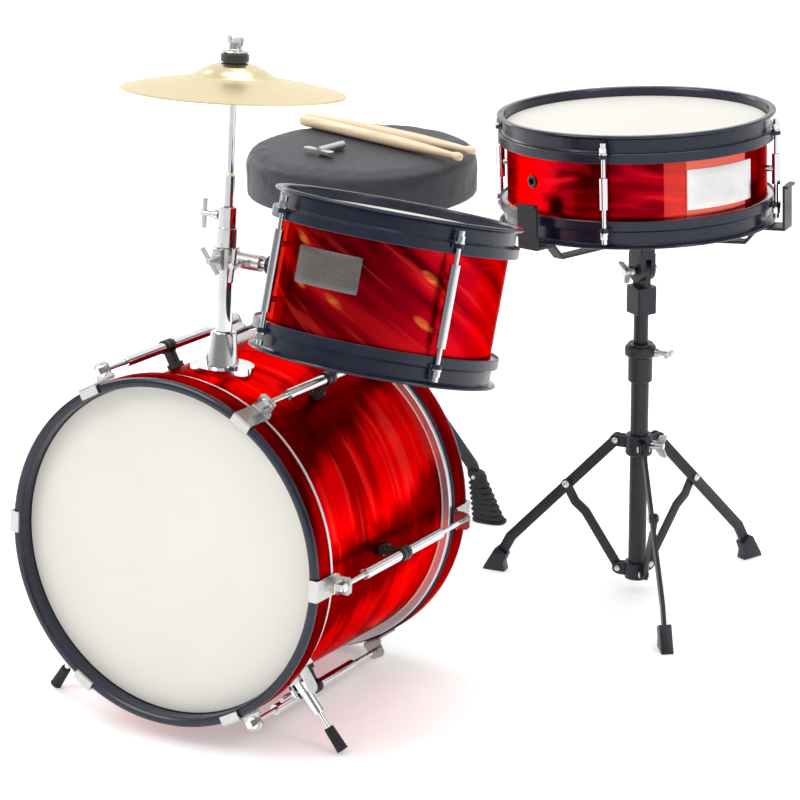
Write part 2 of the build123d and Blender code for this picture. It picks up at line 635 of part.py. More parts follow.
with BuildPart() as snare_lug_tubes:
    for ang in SNARE_RODS:
        u = polar(S1, S2, ang)
        v = SN.cross(u)
        c = SO + u * (SNARE_R + ROD_OUT)
        with BuildSketch(Plane(origin=SO - SN * (SNARE_LEN / 2) + u * (SNARE_R - 2), x_dir=v, z_dir=u)):
            Circle(3.2)
        extrude(amount=ROD_OUT)
        with BuildSketch(Plane(origin=c - SN * (SNARE_LEN / 2 + 15), x_dir=u, z_dir=SN)):
            Circle(4.3)
        extrude(amount=30)
        with BuildSketch(Plane(origin=c - SN * (SNARE_LEN / 2 + 16), x_dir=u, z_dir=SN)):
            Circle(2.4)
        extrude(amount=32, mode=Mode.SUBTRACT)
    with BuildSketch(Plane(origin=SO - SN * SNARE_LEN, x_dir=S1, z_dir=SN)):
        Circle(SNARE_R + 0.02)
    extrude(amount=SNARE_LEN, mode=Mode.SUBTRACT)
snare_lug_tubes.part.label = "snare_lug_tubes"

# snare wires across the lower head, their straps and end plates
with BuildPart() as snare_wires:
    z0 = -SNARE_LEN + 7.2
    for k in range(8):
        a = SO + SN * z0 - SU * 92 + SV * (k * 5.0 - 17.5)
        with BuildSketch(Plane(origin=a, x_dir=SV, z_dir=SU)):
            Rectangle(1.2, 1.2)
        extrude(amount=184)
    for s in (-1, 1):
        with BuildSketch(Plane(origin=SO + SN * (z0 - 0.6) + SU * (s * 95), x_dir=SU, z_dir=SN)):
            RectangleRounded(8, 42, 1.5)
        extrude(amount=1.2)
    with BuildSketch(Plane(origin=SO + SN * (z0 - 0.4) + SU * 117.5, x_dir=SU, z_dir=SN)):
        Rectangle(40, 24)
    extrude(amount=0.8)
    with BuildSketch(Plane(origin=SO + SN * (z0 - 0.4) + SU * (SNARE_R + 9.9), x_dir=SU, z_dir=SN)):
        Rectangle(0.8, 24)
    extrude(amount=24)
    with BuildSketch(Plane(origin=SO + SN * (z0 - 0.4) + SU * (SNARE_R + 5.0), x_dir=SU, z_dir=SN)):
        Rectangle(10.6, 24)
    extrude(amount=0.8)
    with BuildSketch(Plane(origin=SO + SN * (z0 - 0.4) - SU * 112, x_dir=SU, z_dir=SN)):
        Rectangle(30, 24)
    extrude(amount=0.8)
snare_wires.part.label = "snare_wires"

with BuildPart() as snare_strainer:
    with BuildSketch(Plane(origin=SO - SN * 78, x_dir=SU, z_dir=SN)):
        with Locations((SNARE_R + 0.5, 0)):
            Rectangle(4.0, 30.0)
    extrude(amount=46)
    with BuildSketch(Plane(origin=SO - SN * 79.5, x_dir=SU, z_dir=SN)):
        with Locations((SNARE_R + 5.6, 0)):
            RectangleRounded(7.4, 26.0, 1.5)
    extrude(amount=18)
    with BuildSketch(Plane(origin=SO - SN * 79.5, x_dir=SU, z_dir=SN)):
        with Locations((SNARE_R + 11.4, 0)):
            Rectangle(1.8, 26.0)
    extrude(amount=18)
    with BuildSketch(Plane(origin=SO - SN * 66 + SU * (SNARE_R + 8), x_dir=SV, z_dir=SU)):
        Circle(3.2)
    extrude(amount=7)
    with BuildSketch(Plane(origin=SO - SN * 62, x_dir=SU, z_dir=SN)):
        with Locations((SNARE_R + 6.0, 0)):
            Circle(3.0)
    extrude(amount=22)
    with BuildSketch(Plane(origin=SO - SN * 46, x_dir=SU, z_dir=SN)):
        with Locations((SNARE_R + 6.0, 0)):
            Circle(4.6)
    extrude(amount=8)
    with BuildSketch(Plane(origin=SO - SN * 90, x_dir=S1, z_dir=SN)):
        Circle(SNARE_R + 0.02)
    extrude(amount=70, mode=Mode.SUBTRACT)
snare_strainer.part.label = "snare_strainer"

# =================================================================== TRIPOD MAKER NUMBERS
def spoke(x, y, az):
    """Origin on the axis, outward, sideways and up directions of one leg."""
    u = Vector(cos(radians(az)), sin(radians(az)), 0)
    return at(x, y, 0), u, Vector(-u.Y, u.X, 0), Vector(0, 0, 1)


def leg_plane(o, u, v, t):
    """Sketch plane of a leg: x outward, y up; t is the offset sideways."""
    return Plane(origin=o + v * t, x_dir=u, z_dir=u.cross(Vector(0, 0, 1)))


# z_dir of leg_plane is -v, so an extrusion goes towards -v.
# =================================================================== SNARE STAND
UP = Vector(0, 0, 1)
SX0 = at(STAND_X, STAND_Y, 0)
with BuildPart() as stand_main_tube:
    with BuildSketch(profile(SX0, BX, UP)):
        with BuildLine():
            Polyline((7.65, 16.0), (S_TUBE_R, 16.0), (S_TUBE_R, 227.0), (11.6, 227.0), (12.2, 227.8), (12.2, 252.0), (15.4, 254.5), (15.8, 256),
                     (15.8, 262.0), (14.6, 264.0), (12.6, 264.6), (12.6, 266.6), (S_UP_R + 0.05, 266.6), (S_UP_R + 0.05, 244.0), (7.65, 242.0), close=True)
        make_face()
    revolve(axis=Axis(SX0, UP), revolution_arc=360)
    with BuildSketch(Plane(origin=SX0 + UP * 15.0, x_dir=BX, z_dir=UP)):
        Circle(12.4)
    extrude(amount=17.0)
    with BuildSketch(Plane(origin=SX0 + UP * 16.0, x_dir=BX, z_dir=UP)):
        Circle(7.65)
    extrude(amount=17.0, mode=Mode.SUBTRACT)
    for az in STAND_AZ.values():
        o, u, v, w = spoke(STAND_X, STAND_Y, az)
        for t in (1.9, 7.3):
            with BuildSketch(leg_plane(o, u, v, t)):
                with Locations((14.5, 24.0)):
                    Rectangle(8.0, 13.0)
                with Locations(S_LOW):
                    Circle(6.0)
                with Locations((4.5, 24.0)):
                    Rectangle(9.0, 17.9, mode=Mode.SUBTRACT)
            extrude(amount=2.0)
        with BuildSketch(leg_plane(o, u, v, 8.3)):
            with Locations(S_LOW):
                Circle(2.0)
        extrude(amount=9.4)
        with BuildSketch(leg_plane(o, u, v, 8.3)):
            with Locations(S_LOW):
                Circle(3.4)
        extrude(amount=1.0)
stand_main_tube.part.label = "stand_main_tube"

TP = at(STAND_X, STAND_Y, TILT_Z)
TA = Vector(cos(radians(TILT_AZ)), sin(radians(TILT_AZ)), 0)
TB = UP.cross(TA)
with BuildPart() as stand_upper_tube:
    with BuildSketch(Plane(origin=at(STAND_X, STAND_Y, 140), x_dir=BX, z_dir=UP)):
        Circle(S_UP_R)
        Circle(S_UP_R - 1.4, mode=Mode.SUBTRACT)
    extrude(amount=160)
    with BuildSketch(Plane(origin=at(STAND_X, STAND_Y, 298.5), x_dir=TA, z_dir=UP)):
        RectangleRounded(22, 24, 3)
    extrude(amount=27.5)
    with BuildSketch(Plane(origin=TP - TA * 3.0, x_dir=TB, z_dir=TA)):
        with Locations((0, -11)):
            Rectangle(22, 22)
        Circle(11.0)
    extrude(amount=6.0)
    with BuildSketch(Plane(origin=TP - TA * 12.0, x_dir=TB, z_dir=TA)):
        Circle(3.0)
    extrude(amount=24.0)
stand_upper_tube.part.label = "stand_upper_tube"

with BuildPart() as stand_tilter_bolt:
    for a, b, r in ((TP - TA * 12.0, TP - TA * 16.5, 5.4), (TP - TA * 16.5, TP - TA * 22.0, 3.6), (TP + TA * 12.0, TP + TA * 15.0, 4.8)):
        with BuildSketch(seg(a, b)):
            Circle(r)
        extrude(amount=gap(a, b))
    wd = (UP * 0.85 + TB * 0.52).normalized()
    for s in (-1, 1):
        with BuildSketch(Plane(origin=TP - wd.cross(TA) * 1.2, x_dir=wd, z_dir=wd.cross(TA))):
            with BuildLine():
                q = -s
                Polyline(*[(q * x, y) for x, y in ((2.6, -16.5), (5.0, -16.2), (10.5, -19.5), (12.0, -23.0), (9.8, -24.8), (6.0, -23.0), (2.6, -21.5))], close=True)
            make_face()
        extrude(amount=2.4)
stand_tilter_bolt.part.label = "stand_tilter_bolt"

# basket: hub with two ears, three flat arms that dip below the drum, and end clips
SB = SO - SN * SNARE_LEN                       # middle of the lower rim
HUBC = SB + SN * ((TP - SB).dot(SN))
HOFF = TP - HUBC
HUB = SB + HOFF                                # hub axis at the rim plane
with BuildPart() as stand_basket:
    hub_low = (TP - HUB).dot(SN)
    with BuildSketch(Plane(origin=HUB - SN * 27.0, x_dir=BX, z_dir=SN)):
        Circle(17.0)
    extrude(amount=7.0)
    for s in (-1, 1):
        with BuildSketch(Plane(origin=TP + TA * (s * 3.4), x_dir=TB, z_dir=TA * s)):
            Circle(11.5)
            with Locations((0, 8 * s)):
                Rectangle(22, 19)
            Circle(3.06, mode=Mode.SUBTRACT)
        extrude(amount=5.2)
    with BuildSketch(Plane(origin=TP + UP * 12.3, x_dir=TA, z_dir=UP)):
        RectangleRounded(17.2, 22, 2)
    extrude(amount=17.5)
    for az in CLIP_AZ:
        cu = Vector(cos(radians(az)), sin(radians(az)), 0)
        cu = (cu - SN * cu.dot(SN)).normalized()
        clip = SB + cu * CLIP_R
        e = (clip - HUB).normalized()
        f = SN.cross(e)
        reach = gap(clip, HUB)
        with BuildSketch(Plane(origin=HUB - f * 6.0, x_dir=e, z_dir=e.cross(SN))):
            with BuildLine():
                Polyline(*strip([(10, -22.5), (45, -21.0), (reach - 40, -20.0), (reach - 26, -3.6), (reach - 10, -3.4)], 3.0), close=True)
            make_face()
        extrude(amount=-12.0)
        with BuildSketch(Plane(origin=HUB - SN * 4.9, x_dir=e, z_dir=SN)):
            with Locations((reach - 10.5, 0)):
                Rectangle(26.0, 25.0)
        extrude(amount=3.0)
        with BuildSketch(Plane(origin=HUB - SN * 4.9, x_dir=e, z_dir=SN)):
            with Locations((reach + 1.25, 0)):
                Rectangle(2.5, 25.0)
        extrude(amount=44.0)
        with BuildSketch(Plane(origin=HUB + SN * 36.6, x_dir=e, z_dir=SN)):
            with Locations((reach + 2.75, 0)):
                Rectangle(5.5, 25.0)
        extrude(amount=2.5)
stand_basket.part.label = "stand_basket"

with BuildPart() as stand_collar:
    with BuildSketch(profile(SX0, BX, UP)):
        with BuildLine():
            Polyline((S_TUBE_R + 0.05, 149.0), (12.8, 149.0), (13.6, 150.0), (13.6, 169.0), (12.8, 170.0), (S_TUBE_R + 0.05, 170.0), close=True)
        make_face()
    revolve(axis=Axis(SX0, UP), revolution_arc=360)
    for az in STAND_AZ.values():
        o, u, v, w = spoke(STAND_X, STAND_Y, az)
        for t in (4.4, -2.1):
            with BuildSketch(leg_plane(o, u, v, t)):
                with Locations((17.0, 161.0)):
                    Rectangle(12.0, 12.0)
                with Locations(S_UP):
                    Circle(6.2)
            extrude(amount=2.3)
        with BuildSketch(leg_plane(o, u, v, 5.4)):
            with Locations(S_UP):
                Circle(2.2)
        extrude(amount=10.8)
        for t in (5.4, -4.4):
            with BuildSketch(leg_plane(o, u, v, t)):
                with Locations(S_UP):
                    Circle(3.6)
            extrude(amount=1.0)
    with BuildSketch(Plane(origin=SX0 + UP * 148, x_dir=BX, z_dir=UP)):
        Circle(S_TUBE_R + 0.05)
    extrude(amount=24, mode=Mode.SUBTRACT)
stand_collar.part.label = "stand_collar"

CB = Vector(cos(radians(5.1)), sin(radians(5.1)), 0)
with BuildPart() as stand_collar_bolt:
    p = SX0 + UP * 160.0 + CB * 13.65
    for a, b, r in ((p, p + CB * 5, 4.6), (p, p + CB * 13, 3.2)):
        with BuildSketch(seg(a, b)):
            Circle(r)
        extrude(amount=gap(a, b))
    for s in (-1, 1):
        with BuildSketch(Plane(origin=p - CB.cross(UP) * 1.2, x_dir=UP, z_dir=CB.cross(UP))):
            with BuildLine():
                Polyline(*[(s * x, -y) for x, y in ((2.4, 5.0), (5.0, 4.8), (10.5, 9.0), (12.6, 14.5), (10.0, 16.2), (6.0, 14.4), (2.4, 12.5))], close=True)
            make_face()
        extrude(amount=2.4)
stand_collar_bolt.part.label = "stand_collar_bolt"

stand_legs = {}
for name, az in STAND_AZ.items():
    o, u, v, w = spoke(STAND_X, STAND_Y, az)
    with BuildPart() as leg_bar:
        with BuildSketch(leg_plane(o, u, v, 1.75)):
            with BuildLine():
                Polyline(*strip([S_UP, S_KNEE, S_FOOT], 11.0), close=True)
            make_face()
            with Locations(S_UP):
                Circle(5.5)
                Circle(2.25, mode=Mode.SUBTRACT)
        extrude(amount=3.5)
        with BuildSketch(leg_plane(o, u, v, -1.75)):
            with Locations(S_MID):
                Circle(4.2)
        extrude(amount=1.6)
    with BuildPart() as leg_foot:
        with BuildSketch(leg_plane(o, u, v, 6.0)):
            with BuildLine():
                Polyline((144.5, 0), (168.6, 0), (167.4, 3.6), (159.0, 18.0), (155.4, 24.2), (153.6, 25.2), (142.6, 19.4), (142.2, 17.6), (146.0, 9.0), close=True)
            make_face()
        extrude(amount=12.0)
        add(leg_bar.part, mode=Mode.SUBTRACT)
    stand_legs[name] = Compound(label="stand_leg_" + name, children=[leg_bar.part, leg_foot.part])

stand_braces = {}
for name, az in STAND_AZ.items():
    o, u, v, w = spoke(STAND_X, STAND_Y, az)
    dx, dz = S_MID[0] - S_LOW[0], S_MID[1] - S_LOW[1]
    ln = sqrt(dx * dx + dz * dz)
    nx, nz = dz / ln, -dx / ln
    pts = [S_LOW, (S_LOW[0] + 0.66 * dx - 1.8 * nx, S_LOW[1] + 0.66 * dz - 1.8 * nz),
           (S_LOW[0] + 0.80 * dx + 2.2 * nx, S_LOW[1] + 0.80 * dz + 2.2 * nz), S_MID]
    with BuildPart() as brace:
        with BuildSketch(leg_plane(o, u, v, 5.0)):
            with BuildLine():
                Polyline(*strip(pts, 9.5), close=True)
            make_face()
            with Locations(S_LOW):
                Circle(4.9)
            with Locations(S_MID):
                Circle(5.2)
            with Locations(S_LOW):
                Circle(2.05, mode=Mode.SUBTRACT)
        extrude(amount=2.8)
        with BuildSketch(leg_plane(o, u, v, 6.2)):
            with Locations(S_MID):
                Circle(3.8)
        extrude(amount=1.3)
    brace.part.label = "stand_brace_" + name
    stand_braces[name] = brace.part

# =================================================================== THRONE
TX0 = at(THRONE_X, THRONE_Y, 0)
with BuildPart() as throne_main_tube:
    with BuildSketch(profile(TX0, BX, UP)):
        with BuildLine():
            Polyline((9.1, 28.0), (T_TUBE_R, 28.0), (T_TUBE_R, 246.0), (14.4, 246.0), (15.2, 247.0), (15.2, 268.0), (14.4, 270.0),
                     (T_POST_R + 0.05, 270.0), (T_POST_R + 0.05, 250.0), (9.1, 248.0), close=True)
        make_face()
    revolve(axis=Axis(TX0, UP), revolution_arc=360)
    with BuildSketch(Plane(origin=TX0 + UP * 29.0, x_dir=BX, z_dir=UP)):
        Circle(14.5)
        Circle(T_TUBE_R - 0.5, mode=Mode.SUBTRACT)
    extrude(amount=22.0)
    for az in THRONE_AZ.values():
        o, u, v, w = spoke(THRONE_X, THRONE_Y, az)
        for t in (2.2, 8.2):
            with BuildSketch(leg_plane(o, u, v, t)):
                with Locations((17.0, 40.0)):
                    Rectangle(8.0, 14.0)
                with Locations(T_LOW):
                    Circle(6.6)
                with Locations((5.4, 40.0)):
                    Rectangle(10.8, 24.0, mode=Mode.SUBTRACT)
            extrude(amount=2.2)
        with BuildSketch(leg_plane(o, u, v, 9.2)):
            with Locations(T_LOW):
                Circle(2.2)
        extrude(amount=10.4)
throne_main_tube.part.label = "throne_main_tube"

with BuildPart() as throne_collar:
    with BuildSketch(profile(TX0, BX, UP)):
        with BuildLine():
            Polyline((T_TUBE_R + 0.05, 178.0), (15.2, 178.0), (16.0, 179.0), (16.0, 200.0), (15.2, 201.0), (T_TUBE_R + 0.05, 201.0), close=True)
        make_face()
    revolve(axis=Axis(TX0, UP), revolution_arc=360)
    for az in THRONE_AZ.values():
        o, u, v, w = spoke(THRONE_X, THRONE_Y, az)
        for t in (4.8, -2.3):
            with BuildSketch(leg_plane(o, u, v, t)):
                with Locations((19.5, 190.5)):
                    Rectangle(13.0, 13.0)
                with Locations(T_UP):
                    Circle(6.8)
            extrude(amount=2.5)
        with BuildSketch(leg_plane(o, u, v, 5.8)):
            with Locations(T_UP):
                Circle(2.4)
        extrude(amount=11.6)
    with BuildSketch(Plane(origin=TX0 + UP * 177, x_dir=BX, z_dir=UP)):
        Circle(T_TUBE_R + 0.05)
    extrude(amount=26, mode=Mode.SUBTRACT)
throne_collar.part.label = "throne_collar"

throne_legs = {}
throne_braces = {}
for name, az in THRONE_AZ.items():
    o, u, v, w = spoke(THRONE_X, THRONE_Y, az)
    with BuildPart() as leg_bar:
        with BuildSketch(leg_plane(o, u, v, 2.0)):
            with BuildLine():
                Polyline(*strip([T_UP, (131.0, 61.5), T_END], 13.0), close=True)
            make_face()
            with Locations(T_UP):
                Circle(6.5)
                Circle(2.45, mode=Mode.SUBTRACT)
        extrude(amount=4.0)
        with BuildSketch(leg_plane(o, u, v, -2.0)):
            with Locations(T_MID):
                Circle(4.6)
        extrude(amount=1.8)
    with BuildPart() as leg_foot:
        with BuildSketch(leg_plane(o, u, v, 12.0)):
            with BuildLine():
                Polyline((133.0, 0), (171.0, 0), (170.0, 5.0), (163.0, 24.0), (152.0, 46.0), (145.0, 55.0), (134.0, 49.0), (125.0, 40.0), (127.0, 26.0), (130.0, 8.0), close=True)
            make_face()
        extrude(amount=24.0)
        add(leg_bar.part, mode=Mode.SUBTRACT)
    throne_legs[name] = Compound(label="throne_leg_" + name, children=[leg_bar.part, leg_foot.part])
    with BuildPart() as brace:
        with BuildSketch(leg_plane(o, u, v, 5.7)):
            with BuildLine():
                Polyline(*strip([T_LOW, T_MID], 11.0), close=True)
            make_face()
            with Locations(T_LOW, T_MID):
                Circle(5.5)
            with Locations(T_LOW):
                Circle(2.25, mode=Mode.SUBTRACT)
        extrude(amount=3.2)
        with BuildSketch(leg_plane(o, u, v, 7.0)):
            with Locations(T_MID):
                Circle(4.0)
        extrude(amount=1.4)
    brace.part.label = "throne_brace_" + name
    throne_braces[name] = brace.part

with BuildPart() as throne_post:
    with BuildSketch(Plane(origin=TX0 + UP * 150, x_dir=BX, z_dir=UP)):
        Circle(T_POST_R)
        Circle(T_POST_R - 1.6, mode=Mode.SUBTRACT)
    extrude(amount=200)
throne_post.part.label = "throne_post"

# seat pan with its socket on the post, and the cushion
with BuildPart() as seat_pan:
    with BuildSketch(profile(TX0, BX, UP)):
        with BuildLine():
            Polyline((0, 350.4), (T_POST_R + 0.05, 350.4), (T_POST_R + 0.05, 322.0), (13.0, 322.0), (13.0, 349.0), (16.0, 352.4), (92.0, 352.4), (92.0, 355.9), (0, 355.9), close=True)
        make_face()
    revolve(axis=Axis(TX0, UP), revolution_arc=360)
with BuildPart() as seat_pad:
    with BuildSketch(profile(TX0, BX, UP)):
        with BuildLine():
            Polyline((0, SEAT_BOT), (SEAT_R - 14, SEAT_BOT), (SEAT_R - 6, SEAT_BOT + 2.5), (SEAT_R - 1, SEAT_BOT + 10), (SEAT_R, SEAT_BOT + 17), (SEAT_R, SEAT_TOP - 9),
                     (SEAT_R - 0.9, SEAT_TOP - 5), (SEAT_R - 3.2, SEAT_TOP - 2.0), (SEAT_R - 7, SEAT_TOP - 0.5), (SEAT_R - 11, SEAT_TOP), (0, SEAT_TOP), close=True)
        make_face()
    revolve(axis=Axis(TX0, UP), revolution_arc=360)
throne_seat = Compound(label="throne_seat", children=[seat_pan.part, seat_pad.part])

# =================================================================== PEDAL
with BuildPart() as pedal_frame:
    with BuildSketch(Plane(origin=at(0, 0, 0), x_dir=BX, z_dir=UP)):
        with Locations((0, (274.4 + 330) / 2)):
            Rectangle(74, 330 - 274.4)
        with Locations((0, 385)):
            Rectangle(14, 120)
        with Locations((0, 444)):
            Rectangle(64, 34)
    extrude(amount=3.0)
    for s in (-1, 1):
        # prongs under the hoop and the two uprights
        with BuildSketch(Plane(origin=at(s * 30, 268.5, 0), x_dir=BX, z_dir=UP)):
            Rectangle(10, 13)
        extrude(amount=1.1)
        with BuildSketch(Plane(origin=at(s * 32, AXLE_Y, 0), x_dir=BX, z_dir=UP)):
            RectangleRounded(6, 16, 1.5)
        extrude(amount=AXLE_Z + 9)
        with BuildSketch(Plane(origin=at(s * 26, HEEL_Y, 0), x_dir=BX, z_dir=UP)):
            Rectangle(5, 14)
        extrude(amount=HEEL_Z + 6)
    for s in (-1, 1):
        with BuildSketch(Plane(origin=at(s * 37, AXLE_Y, AXLE_Z), x_dir=Vector(0, 1, 0), z_dir=Vector(-s, 0, 0))):
            Circle(4.05)
        extrude(amount=12, mode=Mode.SUBTRACT)
    with BuildSketch(Plane(origin=at(-44, AXLE_Y + 18, 0), x_dir=BX, z_dir=UP)):
        Rectangle(22, 12)
    extrude(amount=3.0)
    with BuildSketch(Plane(origin=at(-49.5, AXLE_Y + 18, 0), x_dir=BX, z_dir=UP)):
        Circle(5.0)
    extrude(amount=SPZ0)
    with BuildSketch(Plane(origin=at(-49.5, AXLE_Y + 18, 0), x_dir=BX, z_dir=UP)):
        Circle(2.6)
    extrude(amount=SPZ0 + 5)
    # upper jaw of the hoop clamp with its screw
    with BuildSketch(Plane(origin=at(-17, 0, 0), x_dir=Vector(0, 1, 0), z_dir=BX)):
        with BuildLine():
            Polyline((275.0, 3.0), (284.0, 3.0), (284.0, 18.0), (262.0, 18.0), (262.0, 13.0), (275.0, 12.0), close=True)
        make_face()
    extrude(amount=34)
    with BuildSketch(Plane(origin=at(-24, HEEL_Y, HEEL_Z), x_dir=Vector(0, 1, 0), z_dir=BX)):
        Circle(2.5)
    extrude(amount=48)
pedal_frame.part.label = "pedal_frame"

# footboard in its own tilted frame, heel at the hinge
rise = radians(BOARD_RISE)
FD = Vector(0, -cos(rise), sin(rise))
FU = Vector(0, sin(rise), cos(rise))
FO = at(0, HEEL_Y, HEEL_Z)
with BuildPart() as pedal_footboard:
    with BuildSketch(Plane(origin=FO, x_dir=FD, z_dir=FD.cross(FU))):
        with BuildLine():
            Polyline((-10, 3.4), (-10, 6.4), (128, 6.4), (131, 5.4), (131, 3.4), close=True)
        make_face()
        Circle(5.4)
        with Locations((0, 3)):
            Rectangle(10.0, 4.0)
        Circle(2.55, mode=Mode.SUBTRACT)
    extrude(amount=22.5, both=True)
    with BuildSketch(Plane(origin=FO + FU * 6.0, x_dir=FD, z_dir=FU)):
        with GridLocations(16, 30, 7, 1):
            with Locations((62, 0)):
                SlotOverall(30, 4, rotation=90)
    extrude(amount=1.4)
pedal_footboard.part.label = "pedal_footboard"

# beater: axle, cam, shaft and felt head, pulled back from the drum at rest
BA = radians(25.0)
AX = at(0, AXLE_Y, AXLE_Z)
BD = Vector(0, sin(BA), cos(BA))
BF = Vector(0, -cos(BA), sin(BA))
BH = AX + BD * BEATER_L
with BuildPart() as pedal_beater:
    with BuildSketch(Plane(origin=AX - BX * 44, x_dir=Vector(0, 1, 0), z_dir=BX)):
        Circle(4.0)
    extrude(amount=80)
    with BuildSketch(Plane(origin=AX - BX * 9, x_dir=Vector(0, 1, 0), z_dir=BX)):
        Circle(9.0)
        with Locations((-10, -3)):
            Circle(5.0)
    extrude(amount=18)
    with BuildSketch(seg(AX, BH)):
        Circle(3.0)
    extrude(amount=BEATER_L)
    # crank for the return spring
    with BuildSketch(Plane(origin=AX - BX * 44, x_dir=Vector(0, 1, 0), z_dir=BX)):
        Circle(6.0)
        with Locations((9, 0)):
            Rectangle(18, 7)
        with Locations((18, 0)):
            Circle(3.5)
    extrude(amount=3.0)
    with BuildSketch(Plane(origin=AX - BX * 52 + Vector(0, 18, 0), x_dir=Vector(0, 1, 0), z_dir=BX)):
        Circle(1.8)
    extrude(amount=9.0)
with BuildPart() as beater_felt:
    with BuildSketch(profile(BH, BX, BF)):
        with BuildLine():
            Polyline((0, -9.5), (9.5, -9.5), (13.0, -6.5), (13.6, 2.0), (12.4, 8.6), (8.0, 12.2), (0, 13.0), close=True)
        make_face()
    revolve(axis=Axis(BH, BF), revolution_arc=360)
    add(pedal_beater.part, mode=Mode.SUBTRACT)
pedal_beater_all = Compound(label="pedal_beater", children=[pedal_beater.part, beater_felt.part])

with BuildPart() as pedal_spring:
    with BuildSketch(Plane(origin=at(-49.5, AXLE_Y + 18, SPZ0), x_dir=BX, z_dir=UP)):
        Circle(4.6)
        Circle(3.0, mode=Mode.SUBTRACT)
    extrude(amount=SPZ1 - SPZ0)
pedal_spring.part.label = "pedal_spring"

# =================================================================== CLAMP SCREWS ON THE FIXED PARTS
with BuildPart() as clamp_wing_bolts:
    items = []
    items += t_bolt(HB + PA * 140 - BX * 9.45, -BX, PA, 19, 27)
    sd = Vector(cos(radians(5.0)), sin(radians(5.0)), 0)
    items += t_bolt(SX0 + UP * 258 + sd * 15.85, sd, UP.cross(sd), 17, 18)
    td = Vector(cos(radians(70.0)), sin(radians(70.0)), 0)
    items += t_bolt(TX0 + UP * 259 + td * 15.25, td, UP, 22, 28)
    for p, tip, d, v, e in SPURS.values():
        k = 1 if v.Z < 0 else -1
        items += t_bolt(p + v * (k * 9.25), v * k, BN, 15, 20)
    for a, b, r in items:
        with BuildSketch(seg(a, b)):
            Circle(r)
        extrude(amount=gap(a, b))
clamp_wing_bolts.part.label = "clamp_wing_bolts"

# =================================================================== STICKS AND KEY
STICK_Z = SEAT_TOP + 0.35 + 6.2
with BuildPart() as drumsticks:
    for b, t in ((at(-259, 702, STICK_Z), at(-17.5, 642.5, STICK_Z)), (at(-255, 684.5, STICK_Z), at(-17, 612.5, STICK_Z))):
        d = (t - b).normalized()
        ln = gap(b, t)
        with BuildSketch(profile(b, across(d), d)):
            with BuildLine():
                Polyline((0, 0), (3.6, 0.3), (5.4, 1.8), (6.2, 4.5), (6.2, ln - 92), (5.6, ln - 66), (4.4, ln - 38), (3.1, ln - 16), (3.1, ln - 13.5), (4.3, ln - 9.5),
                         (4.6, ln - 6.0), (3.8, ln - 2.0), (2.0, ln - 0.3), (0, ln), close=True)
            make_face()
        revolve(axis=Axis(b, d), revolution_arc=360)
drumsticks.part.label = "drumsticks"

KEY_Z = SEAT_TOP + 0.35 + 4.4
with BuildPart() as drum_key:
    ka = Vector(cos(radians(76.0)), sin(radians(76.0)), 0)
    kb = Vector(-ka.Y, ka.X, 0)
    k0 = at(-169, 575, KEY_Z)
    with BuildSketch(seg(k0, k0 + ka * 37)):
        Circle(4.3)
    extrude(amount=37)
    with BuildSketch(seg(k0 + ka * 26, k0 + ka * 37)):
        Circle(4.4)
    extrude(amount=8)
    # flat wings that widen and thin towards their ends
    for s in (-1, 1):
        with BuildSketch(Plane(origin=k0 - Vector(0, 0, 1.7), x_dir=kb * s, z_dir=UP)):
            with BuildLine():
                q = s
                Polyline((0, -3.4 * q), (6, -3.2 * q), (13, -4.6 * q), (18, -4.4 * q), (20.5, -1.6 * q), (20.5, 1.6 * q), (18, 4.2 * q), (13, 4.0 * q), (6, 3.2 * q), (0, 3.4 * q), close=True)
            make_face()
        extrude(amount=3.4)
    with BuildSketch(Plane(origin=k0 + ka * 27, x_dir=UP, z_dir=ka)):
        Rectangle(4.2, 4.2)
    extrude(amount=11, mode=Mode.SUBTRACT)
drum_key.part.label = "drum_key"

# =================================================================== WRITE
pieces = {
    "bass_shell": bass_shell.part, "bass_heads": bass_heads.part, "bass_hoops": bass_hoops.part, "bass_claws": bass_claws.part,
    "bass_tension_rods": bass_tension_rods.part, "bass_lug_tubes": bass_lug_tubes.part, "bass_lug_saddles": bass_lug_saddles.part,
    "spur_brackets": spur_brackets.part, "spur_left": spur_parts["left"], "spur_right": spur_parts["right"],
    "holder_flange": holder_flange.part, "holder_post": holder_post.part, "clamp_wing_bolts": clamp_wing_bolts.part,
    "tom_arm": tom_arm.part, "tom_arm_bolts": tom_arm_bolts.part, "tom_bracket": tom_bracket.part, "tom_shell": tom_shell.part,
    "tom_heads": tom_heads.part, "tom_hoops": tom_hoops.part, "tom_rods": tom_rods.part, "tom_lug_tubes": tom_lug_tubes.part,
    "cymbal_rod": cymbal_rod.part, "cymbal": cymbal.part, "cymbal_felts": cymbal_felts.part, "cymbal_wing_nut": cymbal_wing_nut.part,
    "snare_shell": snare_shell.part, "snare_heads": snare_heads.part, "snare_hoops": snare_hoops.part, "snare_rods": snare_rods.part,
    "snare_lug_tubes": snare_lug_tubes.part, "snare_wires": snare_wires.part, "snare_strainer": snare_strainer.part,
    "stand_main_tube": stand_main_tube.part, "stand_upper_tube": stand_upper_tube.part, "stand_tilter_bolt": stand_tilter_bolt.part,
    "stand_basket": stand_basket.part, "stand_collar": stand_collar.part, "stand_collar_bolt": stand_collar_bolt.part,
    "throne_main_tube": throne_main_tube.part, "throne_collar": throne_collar.part, "throne_post": throne_post.part, "throne_seat": throne_seat,
    "pedal_frame": pedal_frame.part, "pedal_footboard": pedal_footboard.part, "pedal_beater": pedal_beater_all, "pedal_spring": pedal_spring.part,
    "drumsticks": drumsticks.part, "drum_key": drum_key.part,
}
for name in STAND_AZ:
    pieces["stand_leg_" + name] = stand_legs[name]
    pieces["stand_brace_" + name] = stand_braces[name]
